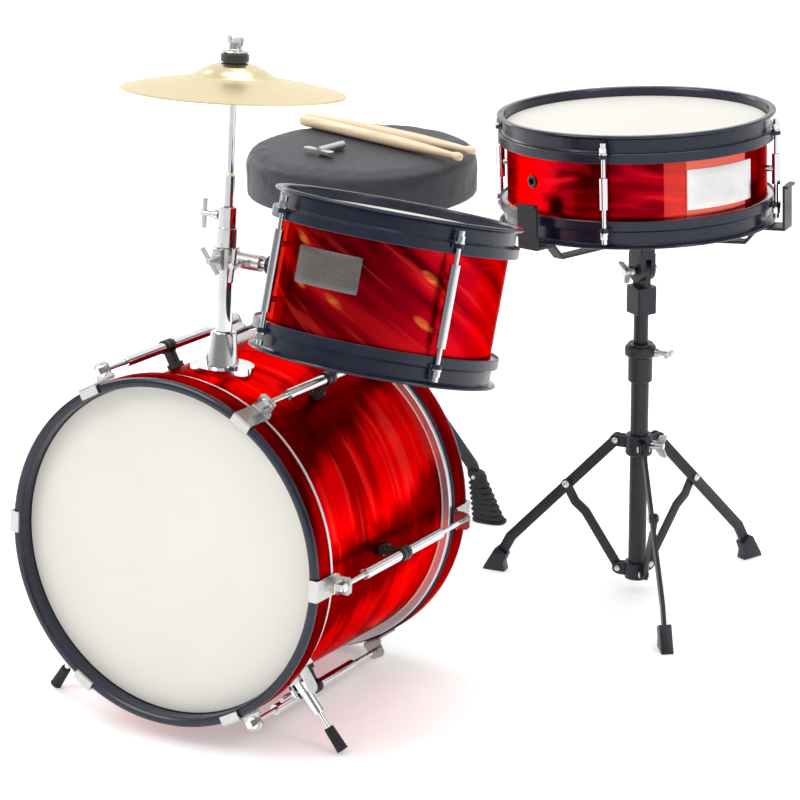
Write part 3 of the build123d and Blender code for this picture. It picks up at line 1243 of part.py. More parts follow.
for name in THRONE_AZ:
    pieces["throne_leg_" + name] = throne_legs[name]
    pieces["throne_brace_" + name] = throne_braces[name]

low = [min(p.bounding_box().min.X for p in pieces.values()), min(p.bounding_box().min.Y for p in pieces.values()), min(p.bounding_box().min.Z for p in pieces.values())]
high = [max(p.bounding_box().max.X for p in pieces.values()), max(p.bounding_box().max.Y for p in pieces.values()), max(p.bounding_box().max.Z for p in pieces.values())]
print("box", [round(v, 2) for v in low], [round(v, 2) for v in high])
for name, p in pieces.items():
    if p.bounding_box().min.Z < -0.005:
        print("below the floor", name, round(p.bounding_box().min.Z, 3))

for name, piece in pieces.items():
    piece.label = name
    export_step(piece, "parts/" + name + ".step")
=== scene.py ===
import bpy, bmesh, json, math
import numpy as np
from mathutils import Vector, Matrix

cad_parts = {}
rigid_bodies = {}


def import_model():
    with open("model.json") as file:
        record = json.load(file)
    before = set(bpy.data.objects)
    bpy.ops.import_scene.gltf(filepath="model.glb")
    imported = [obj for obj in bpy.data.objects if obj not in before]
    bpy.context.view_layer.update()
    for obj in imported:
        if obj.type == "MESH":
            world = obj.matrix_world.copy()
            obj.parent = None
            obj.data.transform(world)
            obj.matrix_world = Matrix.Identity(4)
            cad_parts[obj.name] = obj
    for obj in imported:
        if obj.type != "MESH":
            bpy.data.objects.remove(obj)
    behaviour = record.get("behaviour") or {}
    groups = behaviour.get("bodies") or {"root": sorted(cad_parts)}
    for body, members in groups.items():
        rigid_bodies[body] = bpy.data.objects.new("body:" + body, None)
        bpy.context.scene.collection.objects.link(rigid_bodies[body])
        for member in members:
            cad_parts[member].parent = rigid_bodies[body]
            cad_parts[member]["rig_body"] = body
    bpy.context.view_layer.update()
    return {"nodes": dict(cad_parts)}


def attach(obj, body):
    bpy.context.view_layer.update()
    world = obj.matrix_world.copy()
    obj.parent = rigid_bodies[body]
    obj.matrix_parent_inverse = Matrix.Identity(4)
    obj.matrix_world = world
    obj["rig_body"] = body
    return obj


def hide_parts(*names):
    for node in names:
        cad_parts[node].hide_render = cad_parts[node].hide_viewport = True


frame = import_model()


SC = bpy.context.scene
NODES = frame["nodes"]
rad = math.radians
MM = 0.001

# ------------------------------------------------------------------ the frame's numbers, in metres
KIT = Vector((-52.42, -381.88, 0.0)) * MM


def at(x, y, z):
    return Vector((x, y, z)) * MM + KIT


def pol(a, b, deg):
    return a * math.cos(rad(deg)) + b * math.sin(rad(deg))


TILT = rad(3.756)
BN = Vector((0, math.cos(TILT), -math.sin(TILT)))
BX = Vector((1, 0, 0))
BU = Vector((0, math.sin(TILT), math.cos(TILT)))
UP = Vector((0, 0, 1))
BO = at(0, 0, 181.0)
BASS_R, BASS_LEN = 0.1524, 0.2801
LEAN = rad(7.28)
PA = Vector((0, math.sin(LEAN), math.cos(LEAN)))
HB = BO + BN * 0.1002 + BU * BASS_R
RIGHT = Vector((0.8736, 0.4867, 0.0))
TN = Vector((0.068, 0.279, 1.0)).normalized()
TO = at(178.8, 126.4, 495.9)
T1 = (RIGHT - TN * RIGHT.dot(TN)).normalized()
T2 = T1.cross(TN)
TOM_R, TOM_LEN = 0.1016, 0.14065
SN = Vector((-0.046, 0.030, 1.0)).normalized()
SO = at(223.0, 521.6, 504.5)
S1 = (RIGHT - SN * RIGHT.dot(SN)).normalized()
S2 = S1.cross(SN)
SNARE_R, SNARE_LEN = 0.127, 0.107
CO = HB + PA * 0.2534
SX0 = at(229.5, 528.0, 0)
TX0 = at(-148.0, 630.0, 0)
STAND_AZ = {"front": -54.9, "right": 65.1, "left": 185.1}
THRONE_AZ = {"a": 2.0, "b": 122.0, "c": 242.0}
SEAT_R, SEAT_BOT, SEAT_TOP = 0.1255, 0.356, 0.404

# ------------------------------------------------------------------ camera
yaw, pitch, roll = 0.5083, -0.3240, -0.0092
cf = Vector((-math.sin(yaw) * math.cos(pitch), math.cos(yaw) * math.cos(pitch), math.sin(pitch)))
cr = Vector((math.cos(yaw), math.sin(yaw), 0))
cu = cr.cross(cf)
r2 = cr * math.cos(roll) + cu * math.sin(roll)
u2 = cu * math.cos(roll) - cr * math.sin(roll)
cam_data = bpy.data.cameras.new("camera")
cam_data.sensor_width = 36.0
cam_data.lens = 136.17
cam_data.clip_end = 50.0
cam = bpy.data.objects.new("camera", cam_data)
SC.collection.objects.link(cam)
cam.matrix_world = Matrix(((r2.x, u2.x, -cf.x, 1.37238), (r2.y, u2.y, -cf.y, -2.49548), (r2.z, u2.z, -cf.z, 1.1787), (0, 0, 0, 1)))
SC.camera = cam

def aim(px, py, o, n, r):
    """Point on a drum's cylinder, from o, that shows at a point of the 800 by 800 frame, and its height along the axis."""
    C = Vector((1.37238, -2.49548, 1.1787))
    F = 3025.9
    d = (r2 * ((px - 400) / F) - u2 * ((py - 400) / F) + cf).normalized()
    w0 = C - o
    dp, wp = d - n * d.dot(n), w0 - n * w0.dot(n)
    A, B_, Cc = dp.dot(dp), dp.dot(wp), wp.dot(wp) - r * r
    t = (-B_ - math.sqrt(max(0, B_ * B_ - A * Cc))) / A
    p = C + d * t - o
    return p, p.dot(n)


def turn(px, py, o, a1, a2, n, r):
    p, h = aim(px, py, o, n, r)
    return math.atan2(p.dot(a2), p.dot(a1)), h


# ------------------------------------------------------------------ node helpers


class N:
    """A small writer of shader nodes for one material."""

    def __init__(self, name):
        self.m = bpy.data.materials.new(name)
        self.m.use_nodes = True
        self.t = self.m.node_tree
        self.t.nodes.clear()
        out = self.t.nodes.new("ShaderNodeOutputMaterial")
        self.b = self.t.nodes.new("ShaderNodeBsdfPrincipled")
        self.t.links.new(self.b.outputs[0], out.inputs[0])
        tc = self.t.nodes.new("ShaderNodeTexCoord")
        self.p = tc.outputs["Object"]

    def put(self, sock, v):
        if isinstance(v, bpy.types.NodeSocket):
            self.t.links.new(v, sock)
        elif v is not None:
            if isinstance(v, (tuple, list, Vector)) and len(v) == 3 and sock.type == "RGBA":
                v = (*v, 1.0)
            sock.default_value = v

    def set(self, **k):
        names = {"color": "Base Color", "metal": "Metallic", "rough": "Roughness", "coat": "Coat Weight", "coat_rough": "Coat Roughness", "normal": "Normal",
                 "spec": "Specular IOR Level", "sheen": "Sheen Weight", "sheen_rough": "Sheen Roughness", "aniso": "Anisotropic", "coat_normal": "Coat Normal", "ior": "IOR",
                 "sub": "Subsurface Weight", "tint": "Specular Tint", "emit": "Emission Strength", "emit_color": "Emission Color"}
        for a, v in k.items():
            self.put(self.b.inputs[names[a]], v)
        return self

    def math(self, op, a, b=None, c=None, clamp=False):
        n = self.t.nodes.new("ShaderNodeMath")
        n.operation = op
        n.use_clamp = clamp
        for i, v in enumerate((a, b, c)):
            if v is not None:
                self.put(n.inputs[i], v)
        return n.outputs[0]

    def vmath(self, op, a, b=None, s=None):
        n = self.t.nodes.new("ShaderNodeVectorMath")
        n.operation = op
        self.put(n.inputs[0], a)
        if b is not None:
            self.put(n.inputs[1], b)
        if s is not None:
            self.put(n.inputs["Scale"], s)
        return n.outputs["Value"] if op in ("DOT_PRODUCT", "LENGTH", "DISTANCE") else n.outputs["Vector"]

    def xyz(self, x, y, z):
        n = self.t.nodes.new("ShaderNodeCombineXYZ")
        for i, v in enumerate((x, y, z)):
            self.put(n.inputs[i], v)
        return n.outputs[0]

    def noise(self, vec=None, scale=5.0, detail=2.0, rough=0.5, dist=0.0, color=False):
        n = self.t.nodes.new("ShaderNodeTexNoise")
        self.put(n.inputs["Vector"], self.p if vec is None else vec)
        n.inputs["Scale"].default_value = scale
        n.inputs["Detail"].default_value = detail
        n.inputs["Roughness"].default_value = rough
        n.inputs["Distortion"].default_value = dist
        return n.outputs["Color" if color else "Fac"]

    def voronoi(self, vec=None, scale=5.0, feature="F1"):
        n = self.t.nodes.new("ShaderNodeTexVoronoi")
        n.feature = feature
        self.put(n.inputs["Vector"], self.p if vec is None else vec)
        n.inputs["Scale"].default_value = scale
        return n.outputs["Distance"]

    def ramp(self, fac, *stops, smooth=False):
        n = self.t.nodes.new("ShaderNodeValToRGB")
        if smooth:
            n.color_ramp.interpolation = "EASE"
        e = n.color_ramp.elements
        while len(e) > 1:
            e.remove(e[-1])
        for i, (x, c) in enumerate(stops):
            if not isinstance(c, (tuple, list)):
                c = (c, c, c)
            el = e[0] if i == 0 else e.new(x)
            el.position = x
            el.color = (*c, 1.0)
        self.put(n.inputs[0], fac)
        return n.outputs[0]

    def rng(self, v, a, b, c, d, kind="LINEAR"):
        n = self.t.nodes.new("ShaderNodeMapRange")
        n.interpolation_type = kind
        n.clamp = True
        for i, x in enumerate((v, a, b, c, d)):
            self.put(n.inputs[i], x)
        return n.outputs[0]

    def mix(self, fac, a, b, kind="MIX"):
        n = self.t.nodes.new("ShaderNodeMix")
        n.data_type = "RGBA"
        n.blend_type = kind
        self.put(n.inputs[0], fac)
        self.put(n.inputs[6], a)
        self.put(n.inputs[7], b)
        return n.outputs[2]

    def mixf(self, fac, a, b):
        n = self.t.nodes.new("ShaderNodeMix")
        n.data_type = "FLOAT"
        self.put(n.inputs[0], fac)
        self.put(n.inputs[2], a)
        self.put(n.inputs[3], b)
        return n.outputs[0]

    def bump(self, height, strength=0.2, dist=0.001, normal=None):
        n = self.t.nodes.new("ShaderNodeBump")
        n.inputs["Strength"].default_value = strength
        n.inputs["Distance"].default_value = dist
        self.put(n.inputs["Height"], height)
        if normal is not None:
            self.put(n.inputs["Normal"], normal)
        return n.outputs[0]

    def cyl(self, o, x, y, n):
        """(along x, along y, along the axis) from o."""
        d = self.vmath("SUBTRACT", self.p, tuple(o))
        return tuple(self.vmath("DOT_PRODUCT", d, tuple(a)) for a in (x, y, n))


# ------------------------------------------------------------------ materials
def chrome(name, tint=(0.80, 0.81, 0.83), rough=(0.05, 0.13), bump=0.02):
    k = N(name)
    a = k.noise(scale=60, detail=4)
    fine = k.noise(scale=900, detail=2)
    k.set(color=k.mix(k.rng(a, 0.35, 0.7, 0, 1), tint, tuple(c * 0.90 for c in tint)), metal=1.0, rough=k.rng(a, 0.3, 0.7, rough[0], rough[1]),
          normal=k.bump(fine, bump, 0.0002))
    return k.m


def satin(name, tint, rough=(0.2, 0.32), along=None):
    """Brushed metal: fine lines along a direction."""
    k = N(name)
    if along is not None:
        s = k.vmath("DOT_PRODUCT", k.p, tuple(along))
        v = k.vmath("SUBTRACT", k.p, k.vmath("SCALE", tuple(along), s=k.math("MULTIPLY", s, 0.97)))
    else:
        v = None
    line = k.noise(v, scale=1500, detail=3)
    a = k.noise(scale=40, detail=3)
    k.set(color=k.mix(k.rng(a, 0.3, 0.75, 0, 1), tint, tuple(c * 0.86 for c in tint)), metal=1.0, rough=k.rng(line, 0.3, 0.7, rough[0], rough[1]),
          normal=k.bump(line, 0.08, 0.0002))
    return k.m


def painted(name, col, rough=(0.30, 0.45), grain=700.0, strength=0.10, coat=0.0, wear=0.25, spec=0.5):
    k = N(name)
    a = k.noise(scale=grain, detail=3)
    b = k.noise(scale=35, detail=4)
    light = tuple(min(1, c * 1.7 + 0.012) for c in col)
    k.set(color=k.mix(k.math("MULTIPLY", k.rng(b, 0.45, 0.75, 0, 1), wear), col, light), rough=k.rng(b, 0.3, 0.7, rough[0], rough[1]), coat=coat, coat_rough=0.08, spec=spec,
          normal=k.bump(a, strength, 0.0003))
    return k.m


def rubber(name, col=(0.012, 0.012, 0.014)):
    k = N(name)
    a = k.noise(scale=500, detail=4)
    b = k.noise(scale=30, detail=3)
    k.set(color=k.mix(k.rng(b, 0.4, 0.8, 0, 0.6), col, (0.05, 0.05, 0.055)), rough=k.rng(a, 0.3, 0.7, 0.55, 0.78), normal=k.bump(a, 0.25, 0.0003), spec=0.35)
    return k.m


TOM_TWIST = -17.0
# tilt of the painted highlight glints on the tom
TOM_GLINT_TILT = 0.5


def wrap(name, o, x, y, n, r, kind):
    """Foil wrap under a clear film: deep red with soft dark and light bands that run round the drum. The bands, panels,
    strips and glints set at fixed angles on each drum are painted reflections and painted shade; the streaks are the
    wrap's own pattern, with painted highlights on the bass streaks.
    """
    k = N(name)
    a, b, h = k.cyl(o, x, y, n)
    th = k.math("ARCTAN2", b, a)

    def win(v, lo, hi, soft):
        return k.math("MULTIPLY", k.rng(v, lo - soft, lo + soft, 0, 1, "SMOOTHSTEP"), k.rng(v, hi - soft, hi + soft, 1, 0, "SMOOTHSTEP"))

    def streaks(around, along, twist=0.0, amp=0.0, scale=1.0, detail=1.5, dist=0.4):
        hh = k.math("ADD", h, k.math("MULTIPLY", k.math("SINE", k.math("MULTIPLY_ADD", th, 2.0, twist)), amp)) if amp else h
        return k.noise(k.xyz(k.math("MULTIPLY", a, around), k.math("MULTIPLY", b, around), k.math("MULTIPLY", hh, along)), scale=scale, detail=detail, rough=0.45, dist=dist)

    if kind in ("bass", "inlay"):
        s1 = streaks(4.0, 44.0, 0.7, 0.003, dist=0.15, detail=1.0)
        s2 = streaks(7.0, 120.0, 0.7, 0.003, dist=0.2, detail=1.0)
        jag = k.math("MULTIPLY", k.math("SUBTRACT", streaks(4.0, 60.0), 0.5), 0.3)
        base_th = k.math("ADD", k.math("MULTIPLY_ADD", h, -1.9, th), jag)
        # painted reflection: a light window every 60 degrees round the bass, deep dark red between, painted into the
        # colour
        zone = k.math("COSINE", k.math("MULTIPLY", k.math("SUBTRACT", base_th, rad(9.0)), 6.0))
        painted_reflection_window = k.rng(zone, -0.75, 0.45, 0, 1, "SMOOTHSTEP")
        col = k.mix(painted_reflection_window, (0.17, 0.0, 0.003), (0.95, 0.001, 0.012))
        # painted highlight: pinkish streaks, only inside the painted reflection window
        col = k.mix(k.math("MULTIPLY", k.rng(s1, 0.55, 0.66, 0, 1, "SMOOTHSTEP"), k.math("MULTIPLY_ADD", painted_reflection_window, 0.62, 0.06)), col, (0.98, 0.065, 0.055))
        col = k.mix(k.math("MULTIPLY", k.rng(s1, 0.47, 0.34, 0, 1, "SMOOTHSTEP"), 0.7), col, (0.17, 0.0, 0.003))
        # painted highlight: light pink streaks, only inside the painted reflection window
        col = k.mix(k.math("MULTIPLY", k.rng(s2, 0.58, 0.68, 0, 1), k.math("MULTIPLY_ADD", painted_reflection_window, 0.25, 0.03)), col, (1.0, 0.16, 0.12))
        # painted reflection: dark red areas every 60 degrees, a dark reflection painted into the colour
        painted_dark_patch = k.noise(k.xyz(k.math("MULTIPLY", a, 24.0), k.math("MULTIPLY", b, 24.0), k.math("MULTIPLY", h, 40.0)), scale=1.0, detail=1.5, dist=0.5)
        low = k.rng(k.math("COSINE", k.math("MULTIPLY", k.math("SUBTRACT", th, rad(2.0)), 6.0)), 0.45, 0.95, 0, 1, "SMOOTHSTEP")
        col = k.mix(k.math("MULTIPLY", k.math("MULTIPLY", k.rng(painted_dark_patch, 0.50, 0.60, 0, 1, "SMOOTHSTEP"), low), 0.6), col, (0.12, 0.0, 0.002))
        if kind == "inlay":
            # painted shade: the inlay is the bass wrap, darkened toward deep maroon
            col = k.mix(0.72, col, (0.085, 0.0, 0.004))
        rough_n, seam = s2, rad(-160.0)
        strip = k.math("MULTIPLY", win(th, seam, seam + 0.16, 0.002), 0.3)
    elif kind == "tom":
        tw = k.math("MULTIPLY_ADD", h, TOM_TWIST, th)
        ca, sb = k.math("MULTIPLY", k.math("COSINE", tw), 1.0), k.math("MULTIPLY", k.math("SINE", tw), 1.0)
        s1 = k.noise(k.xyz(k.math("MULTIPLY", ca, 2.1), k.math("MULTIPLY", sb, 2.1), k.math("MULTIPLY", h, 13.0)), scale=1.0, detail=1.2, dist=0.5)
        s2 = k.noise(k.xyz(k.math("MULTIPLY", ca, 6.0), k.math("MULTIPLY", sb, 6.0), k.math("MULTIPLY", h, 16.0)), scale=1.0, detail=2.0, dist=0.4)
        col = k.ramp(s1, (0.34, (0.12, 0.0, 0.003)), (0.44, (0.28, 0.0, 0.006)), (0.54, (0.44, 0.001, 0.009)), (0.66, (0.66, 0.006, 0.012)), smooth=True)
        col = k.mix(k.math("MULTIPLY", k.rng(s2, 0.56, 0.68, 0, 1, "SMOOTHSTEP"), 0.35), col, (0.90, 0.05, 0.03))
        # painted highlights: orange glints at fixed places on the tom, and again on the far side, painted into the
        # colour
        painted_glints = None
        for i in range(2):
            for px_, py_ in ((303, 237), (346, 263), (299, 280), (333, 301), (432, 279), (423, 324)):
                t0, h0 = turn(px_, py_, o, x, y, n, r)
                dt = k.math("SUBTRACT", th, t0 + i * math.pi)
                dt = k.math("WRAP", dt, math.pi, -math.pi)
                u_ = k.math("MULTIPLY", dt, r)
                v_ = k.math("SUBTRACT", h, h0)
                c0, s0 = math.cos(TOM_GLINT_TILT), math.sin(TOM_GLINT_TILT)
                p_ = k.math("ADD", k.math("MULTIPLY", u_, c0), k.math("MULTIPLY", v_, s0))
                q_ = k.math("SUBTRACT", k.math("MULTIPLY", v_, c0), k.math("MULTIPLY", u_, s0))
                e_ = k.math("ADD", k.math("POWER", k.math("DIVIDE", p_, 0.0105), 2.0), k.math("POWER", k.math("DIVIDE", q_, 0.0036), 2.0))
                painted_light_amount = k.rng(e_, 0.0, 1.6, 1, 0, "SMOOTHSTEP")
                painted_glints = painted_light_amount if painted_glints is None else k.math("MAXIMUM", painted_glints, painted_light_amount)
        fine = k.noise(k.xyz(k.math("MULTIPLY", a, 60.0), k.math("MULTIPLY", b, 60.0), k.math("MULTIPLY", h, 200.0)), scale=1.0, detail=1.0)
        painted_glints = k.math("MULTIPLY", painted_glints, k.rng(fine, 0.3, 0.6, 0.45, 1.0))
        col = k.mix(k.math("MULTIPLY", painted_glints, 0.75), col, k.mix(painted_glints, (0.95, 0.08, 0.02), (1.0, 0.36, 0.07)))
        # painted reflection: a light strip at fixed angles on the tom
        t0 = turn(271, 270, o, x, y, n, r)[0]
        t1 = turn(281, 270, o, x, y, n, r)[0]
        strip = k.math("MULTIPLY", win(th, min(t0, t1), max(t0, t1), 0.003), 0.55)
        seam = min(t0, t1)
        rough_n = s2
    else:
        # the angles below bound panels painted into the snare wrap: painted reflections, light and dark
        q = [turn(px_, 185, o, x, y, n, r)[0] for px_ in (508, 568, 600, 664, 686, 745, 766)]
        s1 = streaks(15.0, 52.0, 0.4, 0.008, dist=0.8)
        s2 = streaks(30.0, 130.0, 0.4, 0.008)
        col = k.ramp(s1, (0.38, (0.11, 0.0, 0.003)), (0.47, (0.22, 0.0, 0.004)), (0.56, (0.40, 0.0005, 0.008)), (0.66, (0.66, 0.006, 0.012)), smooth=True)
        wob = k.math("MULTIPLY", k.math("SUBTRACT", k.noise(k.xyz(k.math("MULTIPLY", a, 25.0), k.math("MULTIPLY", b, 25.0), k.math("MULTIPLY", h, 50.0)), scale=1.0, detail=2.0), 0.5), 0.5)
        # painted reflection: a lighter red panel at fixed angles
        lo_, hi_ = min(q[0], q[1]), max(q[0], q[1])
        left = win(k.math("ADD", th, wob), lo_ + 0.12, hi_, 0.07)
        col = k.mix(k.math("MULTIPLY", left, 0.85), col, (0.78, 0.004, 0.010))
        # painted reflection: a dark panel at fixed angles past the badge
        d0, d1 = min(q[5], q[6]), max(q[5], q[6])
        col = k.mix(k.math("MULTIPLY", win(th, d0, d1, 0.004), 0.85), col, (0.16, 0.0, 0.01))
        # painted reflection: a light panel beside the badge
        e0, e1 = min(q[3], q[4]), max(q[3], q[4])
        col = k.mix(k.math("MULTIPLY", win(th, e0, e1, 0.004), 0.55), col, (0.86, 0.07, 0.055))
        seam = q[4]
        # painted reflection: the light strip over the badge
        strip = k.math("MULTIPLY", win(th, min(q[4], q[5]), max(q[4], q[5]), 0.003), 0.72)
        rough_n = s2
    # painted reflection: the light strip on the tom and snare; on the bass a faint light band by the seam
    col = k.mix(strip, col, (0.96, 0.19, 0.14))
    edge = win(th, seam - 0.003, seam + 0.003, 0.002)
    col = k.mix(k.math("MULTIPLY", edge, 0.6), col, (0.06, 0.0, 0.002))
    wav = k.noise(scale=9.0, detail=1.0)
    k.set(color=col, metal=1.0, rough=k.rng(rough_n, 0.3, 0.7, 0.22, 0.32), coat=0.0, coat_rough=0.03, tint=(0.75, 0.02, 0.02),
          normal=k.bump(k.math("MULTIPLY_ADD", k.math("SUBTRACT", h, 0.0), 0.0, wav), 0.25, 0.004), spec=0.25)
    return k.m


def head(name, o, n, film_r):
    k = N(name)
    # painted shade: the snare head is the same coated film, darkened by 16%
    painted_light_amount = 0.84 if name == "head_snare" else 1.0
    d = k.vmath("SUBTRACT", k.p, tuple(o))
    h = k.vmath("DOT_PRODUCT", d, tuple(n))
    r = k.vmath("LENGTH", k.vmath("SUBTRACT", d, k.vmath("SCALE", tuple(n), s=h)))
    metal = k.rng(r, film_r, film_r + 0.0003, 0, 1)
    a = k.noise(scale=9, detail=3)
    g = k.noise(scale=1400, detail=2)
    film = k.mix(k.rng(a, 0.3, 0.7, 0, 1), tuple(c * painted_light_amount for c in (0.735, 0.71, 0.64)), tuple(c * painted_light_amount for c in (0.76, 0.745, 0.69)))
    film = k.mix(k.rng(r, film_r * 0.55, film_r, 0, 0.35), film, tuple(c * painted_light_amount for c in (0.71, 0.685, 0.61)))
    k.set(color=k.mix(metal, film, (0.74, 0.75, 0.78)), metal=metal, rough=k.mixf(metal, k.rng(g, 0.3, 0.7, 0.42, 0.55), 0.42), normal=k.bump(g, 0.06, 0.0002))
    return k.m


def bronze(name):
    k = N(name)
    d = k.vmath("SUBTRACT", k.p, tuple(CO))
    h = k.vmath("DOT_PRODUCT", d, tuple(PA))
    r = k.vmath("LENGTH", k.vmath("SUBTRACT", d, k.vmath("SCALE", tuple(PA), s=h)))
    rr = k.xyz(r, 0.0, 0.0)
    big = k.noise(rr, scale=420, detail=3)
    fine = k.noise(rr, scale=1700, detail=2)
    bell = k.rng(r, 0.036, 0.040, 1, 0)
    spot = k.noise(scale=18, detail=3)
    col = k.mix(k.rng(big, 0.35, 0.7, 0, 1), (0.80, 0.69, 0.43), (0.67, 0.57, 0.34))
    col = k.mix(k.rng(spot, 0.5, 0.8, 0, 0.25), col, (0.74, 0.61, 0.36))
    k.set(color=col, metal=1.0, rough=k.mixf(bell, k.rng(fine, 0.3, 0.7, 0.30, 0.42), 0.20),
          normal=k.bump(k.math("MULTIPLY_ADD", big, 0.6, fine), 0.16, 0.0003), aniso=0.35)
    return k.m


def felt(name, col):
    k = N(name)
    a = k.noise(scale=1100, detail=4, dist=1.0)
    b = k.noise(scale=160, detail=3)
    k.set(color=k.mix(k.rng(b, 0.35, 0.7, 0, 1), col, tuple(min(1, c * 1.8 + 0.01) for c in col)), rough=0.95, sheen=0.5, sheen_rough=0.5, normal=k.bump(a, 0.7, 0.0008))
    return k.m


def vinyl(name):
    k = N(name)
    v = k.voronoi(scale=620.0, feature="DISTANCE_TO_EDGE")
    w = k.noise(scale=260, detail=4)
    b = k.noise(scale=14, detail=3)
    grain = k.math("ADD", k.math("MULTIPLY", k.rng(v, 0.0, 0.25, 0, 1), 0.6), k.math("MULTIPLY", w, 0.5))
    a, c, h = k.cyl(TX0, BX, Vector((0, 1, 0)), UP)
    th = k.math("ARCTAN2", c, a)
    dth = k.math("ABSOLUTE", k.math("SUBTRACT", th, rad(-137.0)))
    r = k.math("SQRT", k.math("ADD", k.math("MULTIPLY", a, a), k.math("MULTIPLY", c, c)))
    side = k.rng(r, 0.118, 0.121, 0, 1)
    seam = k.math("MULTIPLY", k.rng(dth, 0.002, 0.013, 1, 0, "SMOOTHSTEP"), side)
    col = k.mix(k.rng(b, 0.35, 0.7, 0, 1), (0.020, 0.022, 0.029), (0.031, 0.033, 0.041))
    col = k.mix(k.math("MULTIPLY", seam, 0.7), col, (0.012, 0.012, 0.015))
    height = k.math("SUBTRACT", grain, k.math("MULTIPLY", seam, 2.2))
    k.set(color=col, rough=k.rng(w, 0.3, 0.7, 0.42, 0.55), normal=k.bump(height, 0.35, 0.0006), spec=0.5)
    return k.m


def wood(name, along):
    k = N(name)
    s = k.vmath("DOT_PRODUCT", k.p, tuple(along))
    v = k.vmath("SUBTRACT", k.p, k.vmath("SCALE", tuple(along), s=k.math("MULTIPLY", s, 0.94)))
    g = k.noise(v, scale=260, detail=4, dist=0.6)
    p = k.noise(v, scale=1500, detail=2)
    b = k.noise(scale=10, detail=2)
    col = k.ramp(g, (0.30, (0.66, 0.47, 0.29)), (0.5, (0.80, 0.62, 0.42)), (0.7, (0.88, 0.72, 0.53)))
    col = k.mix(k.rng(b, 0.4, 0.8, 0, 0.3), col, (0.78, 0.58, 0.38))
    k.set(color=col, rough=k.rng(p, 0.3, 0.7, 0.38, 0.52), normal=k.bump(k.math("ADD", g, p), 0.12, 0.0003), coat=0.15, coat_rough=0.25)
    return k.m


M_WRAP_B = wrap("wrap_bass", BO, BX, BU, BN, BASS_R, "bass")
M_WRAP_T = wrap("wrap_tom", TO, T1, T2, TN, TOM_R, "tom")
M_WRAP_S = wrap("wrap_snare", SO, S1, S2, SN, SNARE_R, "snare")
M_HEAD_B = head("head_bass", BO, BN, 0.1542)
M_HEAD_T = head("head_tom", TO, TN, TOM_R + 0.0014)
M_HEAD_S = head("head_snare", SO, SN, SNARE_R + 0.0014)
M_HOOP = painted("hoop_gloss", (0.006, 0.009, 0.024), rough=(0.20, 0.30), grain=400, strength=0.05, coat=0.12, wear=0.15, spec=0.42)
M_CHROME = chrome("chrome_plate")
M_CLAW = satin("claw_satin", (0.58, 0.575, 0.555), (0.20, 0.30), along=BN)
M_CAST = chrome("cast_zinc", (0.66, 0.67, 0.68), (0.24, 0.38), 0.15)
M_STEEL = satin("drawn_steel", (0.60, 0.60, 0.61), (0.28, 0.42))
M_PLASTIC = painted("moulded_black", (0.012, 0.012, 0.015), rough=(0.36, 0.5), grain=900, strength=0.15, wear=0.3)
M_RUBBER = rubber("rubber_black")
M_STAND = painted("powder_black", (0.009, 0.010, 0.016), rough=(0.32, 0.44), grain=1100, strength=0.18, wear=0.35, spec=0.4)
M_BRONZE = bronze("cymbal_bronze")
M_FELT = felt("felt_black", (0.014, 0.014, 0.016))
M_FELTW = felt("felt_white", (0.55, 0.53, 0.48))
M_VINYL = vinyl("vinyl_charcoal")
STICK_DIR = (at(-24, 643, 0) - at(-263, 700, 0)).normalized()
M_WOOD = wood("maple", STICK_DIR)
M_BADGE = satin("badge_silver", (0.80, 0.78, 0.78), (0.24, 0.36), along=T1)
# painted shade: the tom badge is a darker copy of the silver badge satin
M_BADGE_SHADED = satin("badge_silver_shaded", (0.30, 0.27, 0.26), (0.22, 0.34), along=T1)
M_INLAY = wrap("wrap_inlay", BO, BX, BU, BN, BASS_R, "inlay")
M_RIVET = chrome("rivet_nickel", (0.62, 0.63, 0.65), (0.22, 0.32), 0.05)

BY_NODE = {"bass_shell": M_WRAP_B, "tom_shell": M_WRAP_T, "snare_shell": M_WRAP_S, "bass_heads": M_HEAD_B, "tom_heads": M_HEAD_T, "snare_heads": M_HEAD_S,
           "bass_hoops": M_HOOP, "tom_hoops": M_HOOP, "snare_hoops": M_HOOP, "bass_claws": M_CLAW, "bass_lug_saddles": M_PLASTIC, "cymbal": M_BRONZE,
           "cymbal_felts": M_FELT, "drumsticks": M_WOOD, "drum_key": M_CAST, "clamp_wing_bolts": M_CAST, "tom_arm_bolts": M_CAST, "cymbal_wing_nut": M_CAST,
           "stand_tilter_bolt": M_CAST, "stand_collar_bolt": M_CAST, "holder_flange": M_CHROME, "tom_bracket": M_STAND, "tom_arm": M_CAST,
           "snare_strainer": M_CHROME, "snare_wires": M_STEEL, "pedal_spring": M_STEEL}
for name, ob in NODES.items():
    if name in BY_NODE:
        m = BY_NODE[name]
    elif name.startswith(("stand_", "throne_", "pedal_")):
        m = M_STAND
    else:
        m = M_CHROME
    ob.data.materials.clear()
    ob.data.materials.append(m)


# ------------------------------------------------------------------ mesh helpers
def obj_from(name, verts, faces, mat, sharp=35.0, smooth=True):
    me = bpy.data.meshes.new(name)
    me.from_pydata([tuple(v) for v in verts], [], faces)
    me.validate()
    ob = bpy.data.objects.new(name, me)
    SC.collection.objects.link(ob)
    me.materials.append(mat)
    if smooth:
        me.polygons.foreach_set("use_smooth", [True] * len(me.polygons))
        me.set_sharp_from_angle(angle=rad(sharp))
    return ob


